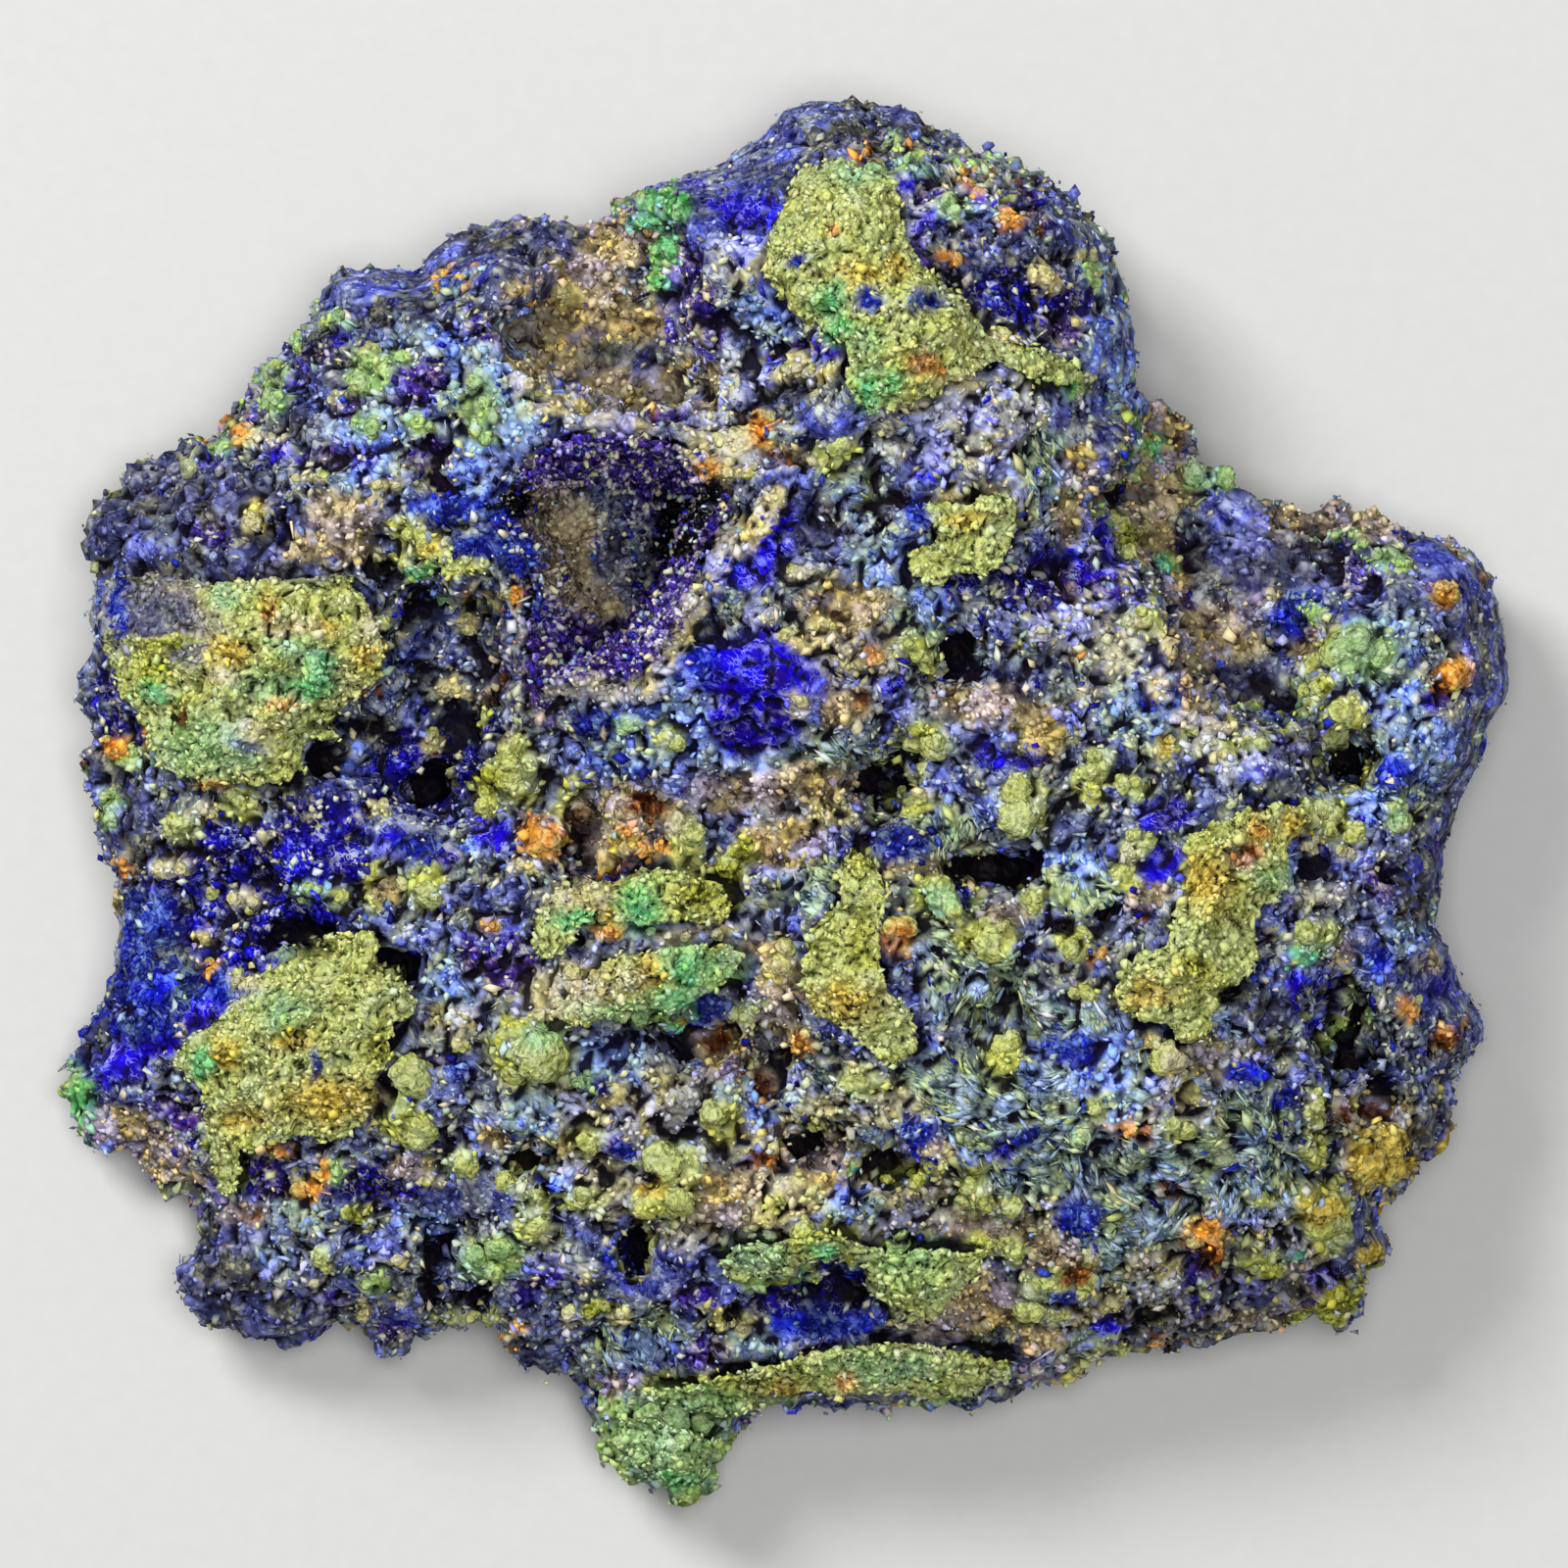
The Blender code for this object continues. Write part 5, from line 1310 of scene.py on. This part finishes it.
def grown_finish(name, grain, stretch, cell_share, bump, roughness):
    """A material of small cells that reads the marks noted on its piece."""
    material, shader, start = new_material(name, GROWN_GLOSS)
    place = start.node("TexCoord", {}, {}, "Object")
    shake = start.node("TexNoise", {}, {"Vector": place, "Scale": 1600.0, "Detail": 3.0}, "Color")
    turn = {"Vector": place, "Angle": FIBRE_ANGLE}
    turned = start.node("VectorRotate", {"rotation_type": "Z_AXIS"}, turn)
    long = start.node("VectorMath", {"operation": "MULTIPLY"}, {0: turned, 1: (stretch, 1, 1)})
    sway = {0: shake, 1: (SWAY * MM,) * 3, 2: long}
    where = start.node("VectorMath", {"operation": "MULTIPLY_ADD"}, sway)
    gap, chance = cells(start, where, grain)
    fine_gap, fine_chance = cells(start, where, grain * 0.45)
    crumb = start.fog(where, 0.5, 4.0).spread(0.35, 0.65)
    streak = start.fog(place, 1.3, 3.0).spread(0.32, 0.68)
    speckle = (chance * 0.46 + fine_chance * 0.16) * cell_share + crumb * (0.62 - 0.62 * cell_share)
    tint = (speckle + streak * 0.38).spread(0.16, 0.84) ** start.noted("lean")
    line = (start.fog(where, 0.42, 1.0) - 0.5).size().spread(0.012, 0.05, 1, 0)
    line = line * start.fog(place, 1.3).spread(0.42, 0.56)
    crack_sockets = {"Vector": where, "Scale": 1 / (0.8 * MM)}
    edge = start.node("TexVoronoi", {"feature": "DISTANCE_TO_EDGE"}, crack_sockets, "Distance")
    crack = edge.spread(0.03, 0.15, 1, 0) * start.fog(place, 1.1).spread(0.42, 0.54)
    pore = crack + start.fog(where, 0.45, 3.0).spread(0.36, 0.45, 1, 0)
    veins = start.noted("veins")
    deep_shadow = start.mix(DEEP_SHADOW, start.noted_colour("dark"), BLACK)
    colour = toned(start, tint)
    colour = start.mix((line * veins).spread(0, 1), colour, start.noted_colour("light"))
    # Painted shade: the gaps between cells, the cracks and pores, and the noted hollows.
    between = gap.spread(0.35, 0.8) * 0.65 + fine_gap.spread(0.4, 0.9) * 0.35
    between = between * (0.12 + 0.66 * cell_share)
    colour = start.mix(between.spread(0, 1), colour, shadow(start))
    colour = start.mix((0 - pore * veins).spread(0, 1), colour, shadow(start))
    colour = start.mix(start.noted("hollow").spread(0, 0.72), colour, deep_shadow)
    colour.into(shader, "Base Color")
    chance.spread(0, 1, roughness + 0.12, roughness - 0.12).into(shader, "Roughness")
    height = (1.2 - gap) * cell_share + crumb * (1 - cell_share) + crack * veins * 0.3
    sockets = {"Strength": 1.0, "Distance": bump * MM, "Height": height}
    start.node("Bump", {}, sockets, "Normal").into(shader, "Normal")
    return material


SWAY = 0.34           # mm by which the cells are pulled about
GAP_SHADOW = 0.6      # how near to black the gaps between grains are
DEEP_SHADOW = 0.94    # how near to black the deepest hollows are
azurite_finish = grown_finish(
    "azurite_grown", grain=0.6, stretch=0.65, cell_share=1.0, bump=0.2, roughness=0.6
)
malachite_finish = grown_finish(
    "malachite_grown", grain=0.4, stretch=1.0, cell_share=0.2, bump=0.22, roughness=0.8
)
druse_finish = grown_finish(
    "druse_grown", grain=0.45, stretch=1.0, cell_share=1.0, bump=0.2, roughness=0.5
)
body.data.materials.append(azurite_finish)
for piece in [*crusts, knob_heap]:
    piece.data.materials.append(malachite_finish)
druse.data.materials.append(druse_finish)
print("finishes:", len(bpy.data.materials))

# %% [markdown]
# ## The finish of single crystals
#
# A modelled crystal needs no cells of its own. Its tint picks one tone for the whole crystal,
# with some cloudiness inside. Azurite's clean faces are smoother than those of malachite and
# rock.

# %% Finish of the crystals
def crystal_finish(name, roughness, cloud, darkest):
    """A material that gives each crystal the tone its tint picks."""
    material, shader, start = new_material(name, CRYSTAL_GLOSS)
    place = start.node("TexCoord", {}, {}, "Object")
    haze = start.fog(place, 0.3)
    streak = start.fog(place, 1.3, 3.0).spread(0.32, 0.68)
    tint = start.noted("tint") * 0.62 + streak * 0.38 + (haze.spread(0.3, 0.7) - 0.5) * cloud
    tint = tint.spread(0.1, 0.9, darkest, 1) ** start.noted("lean")
    toned(start, tint).into(shader, "Base Color")
    rough = start.noted("tint").spread(0, 1, roughness + 0.12, roughness - 0.15)
    rough.into(shader, "Roughness")
    sockets = {"Strength": 0.8, "Distance": 0.06 * MM, "Height": haze}
    start.node("Bump", {}, sockets, "Normal").into(shader, "Normal")
    return material


azurite_crystal = crystal_finish("azurite_crystal", roughness=0.45, cloud=0.35, darkest=0.0)
malachite_crystal = crystal_finish("malachite_crystal", roughness=0.75, cloud=0.4, darkest=0.4)
rock_crystal = crystal_finish("rock_crystal", roughness=0.75, cloud=0.4, darkest=0.0)
OTHERS = {
    "green_chips": malachite_crystal, "crust_chips": malachite_crystal, "rock_grains": rock_crystal
}
for name, piece in grown.items():
    piece.data.materials.append(OTHERS.get(name, azurite_crystal))
print("kinds of crystal with a finish:", len(grown))

# %% [markdown]
# ## Floor, lights and camera
#
# The specimen lies on a pale table under a large soft lamp near the camera and a second one to
# the upper left, whose slanting light shows the relief. The camera looks straight down from far
# away with a long lens, so that high and low parts keep their true places.

# %% Floor
bm = bmesh.new()
bmesh.ops.create_grid(bm, x_segments=1, y_segments=1, size=2.0)
mesh = bpy.data.meshes.new("table")
bm.to_mesh(mesh)
bm.free()
table = bpy.data.objects.new("table", mesh)
bpy.context.scene.collection.objects.link(table)
material, shader, start = new_material("pale_table", CRYSTAL_GLOSS)
where = start.node("TexCoord", {}, {}, "Object")
grain = start.node("TexNoise", {}, {"Vector": where, "Scale": 900.0, "Detail": 3.0}, "Fac")
colour = start.mix(grain, (0.42, 0.42, 0.41, 1), (0.45, 0.45, 0.44, 1))
colour.into(shader, "Base Color")
shader.inputs["Roughness"].default_value = 0.85
table.data.materials.append(material)
table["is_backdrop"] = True
print("table:", table.name)

# %% Lights and camera
def lamp(name, place, size, power):
    """A square lamp that looks at the middle of the specimen."""
    light = bpy.data.lights.new(name, "AREA")
    light.size = size
    light.energy = power
    made = bpy.data.objects.new(name, light)
    made.location = place
    way = Vector((0, 0, MID_HEIGHT)) - Vector(place)
    made.rotation_euler = way.to_track_quat("-Z", "Y").to_euler()
    bpy.context.scene.collection.objects.link(made)


MID_HEIGHT = 0.015          # half the specimen's height
VIEW_WIDE = 0.1             # what the camera sees at that height, both ways
VIEW_MIDDLE = (800, 800)    # the step in the middle of the view
CAMERA_FAR = 1.5            # from that height
FILM = 36.0                 # mm, the width of the camera's film
lamp("slanting_lamp", (-0.5, 0.55, 0.75), size=0.35, power=12.4)
lamp("front_lamp", (0.1, 0.0, 1.3), size=0.6, power=14.2)
world = bpy.data.worlds.new("room")
world.use_nodes = True
world.node_tree.nodes["Background"].inputs["Color"].default_value = (0.95, 0.97, 1, 1)
world.node_tree.nodes["Background"].inputs["Strength"].default_value = 0.23
bpy.context.scene.world = world

camera_data = bpy.data.cameras.new("camera")
camera_data.lens = FILM * CAMERA_FAR / VIEW_WIDE
camera_data.clip_end = 10
camera = bpy.data.objects.new("camera", camera_data)
right = round((VIEW_MIDDLE[0] - MIDDLE[0]) / STEPS, 2)
up = round((MIDDLE[1] - VIEW_MIDDLE[1]) / STEPS, 2)
camera.location = (right * MM, up * MM, MID_HEIGHT + CAMERA_FAR)
bpy.context.scene.collection.objects.link(camera)
bpy.context.scene.camera = camera
bpy.context.scene.view_settings.view_transform = "Standard"
print("camera at", tuple(round(v, 3) for v in camera.location))

# %% Sizes
visual_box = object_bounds()
sizes = {"cad": [list(corner) for corner in cad_box], "visual": [list(c) for c in visual_box]}
print("cad box", cad_box, "visual box", visual_box)
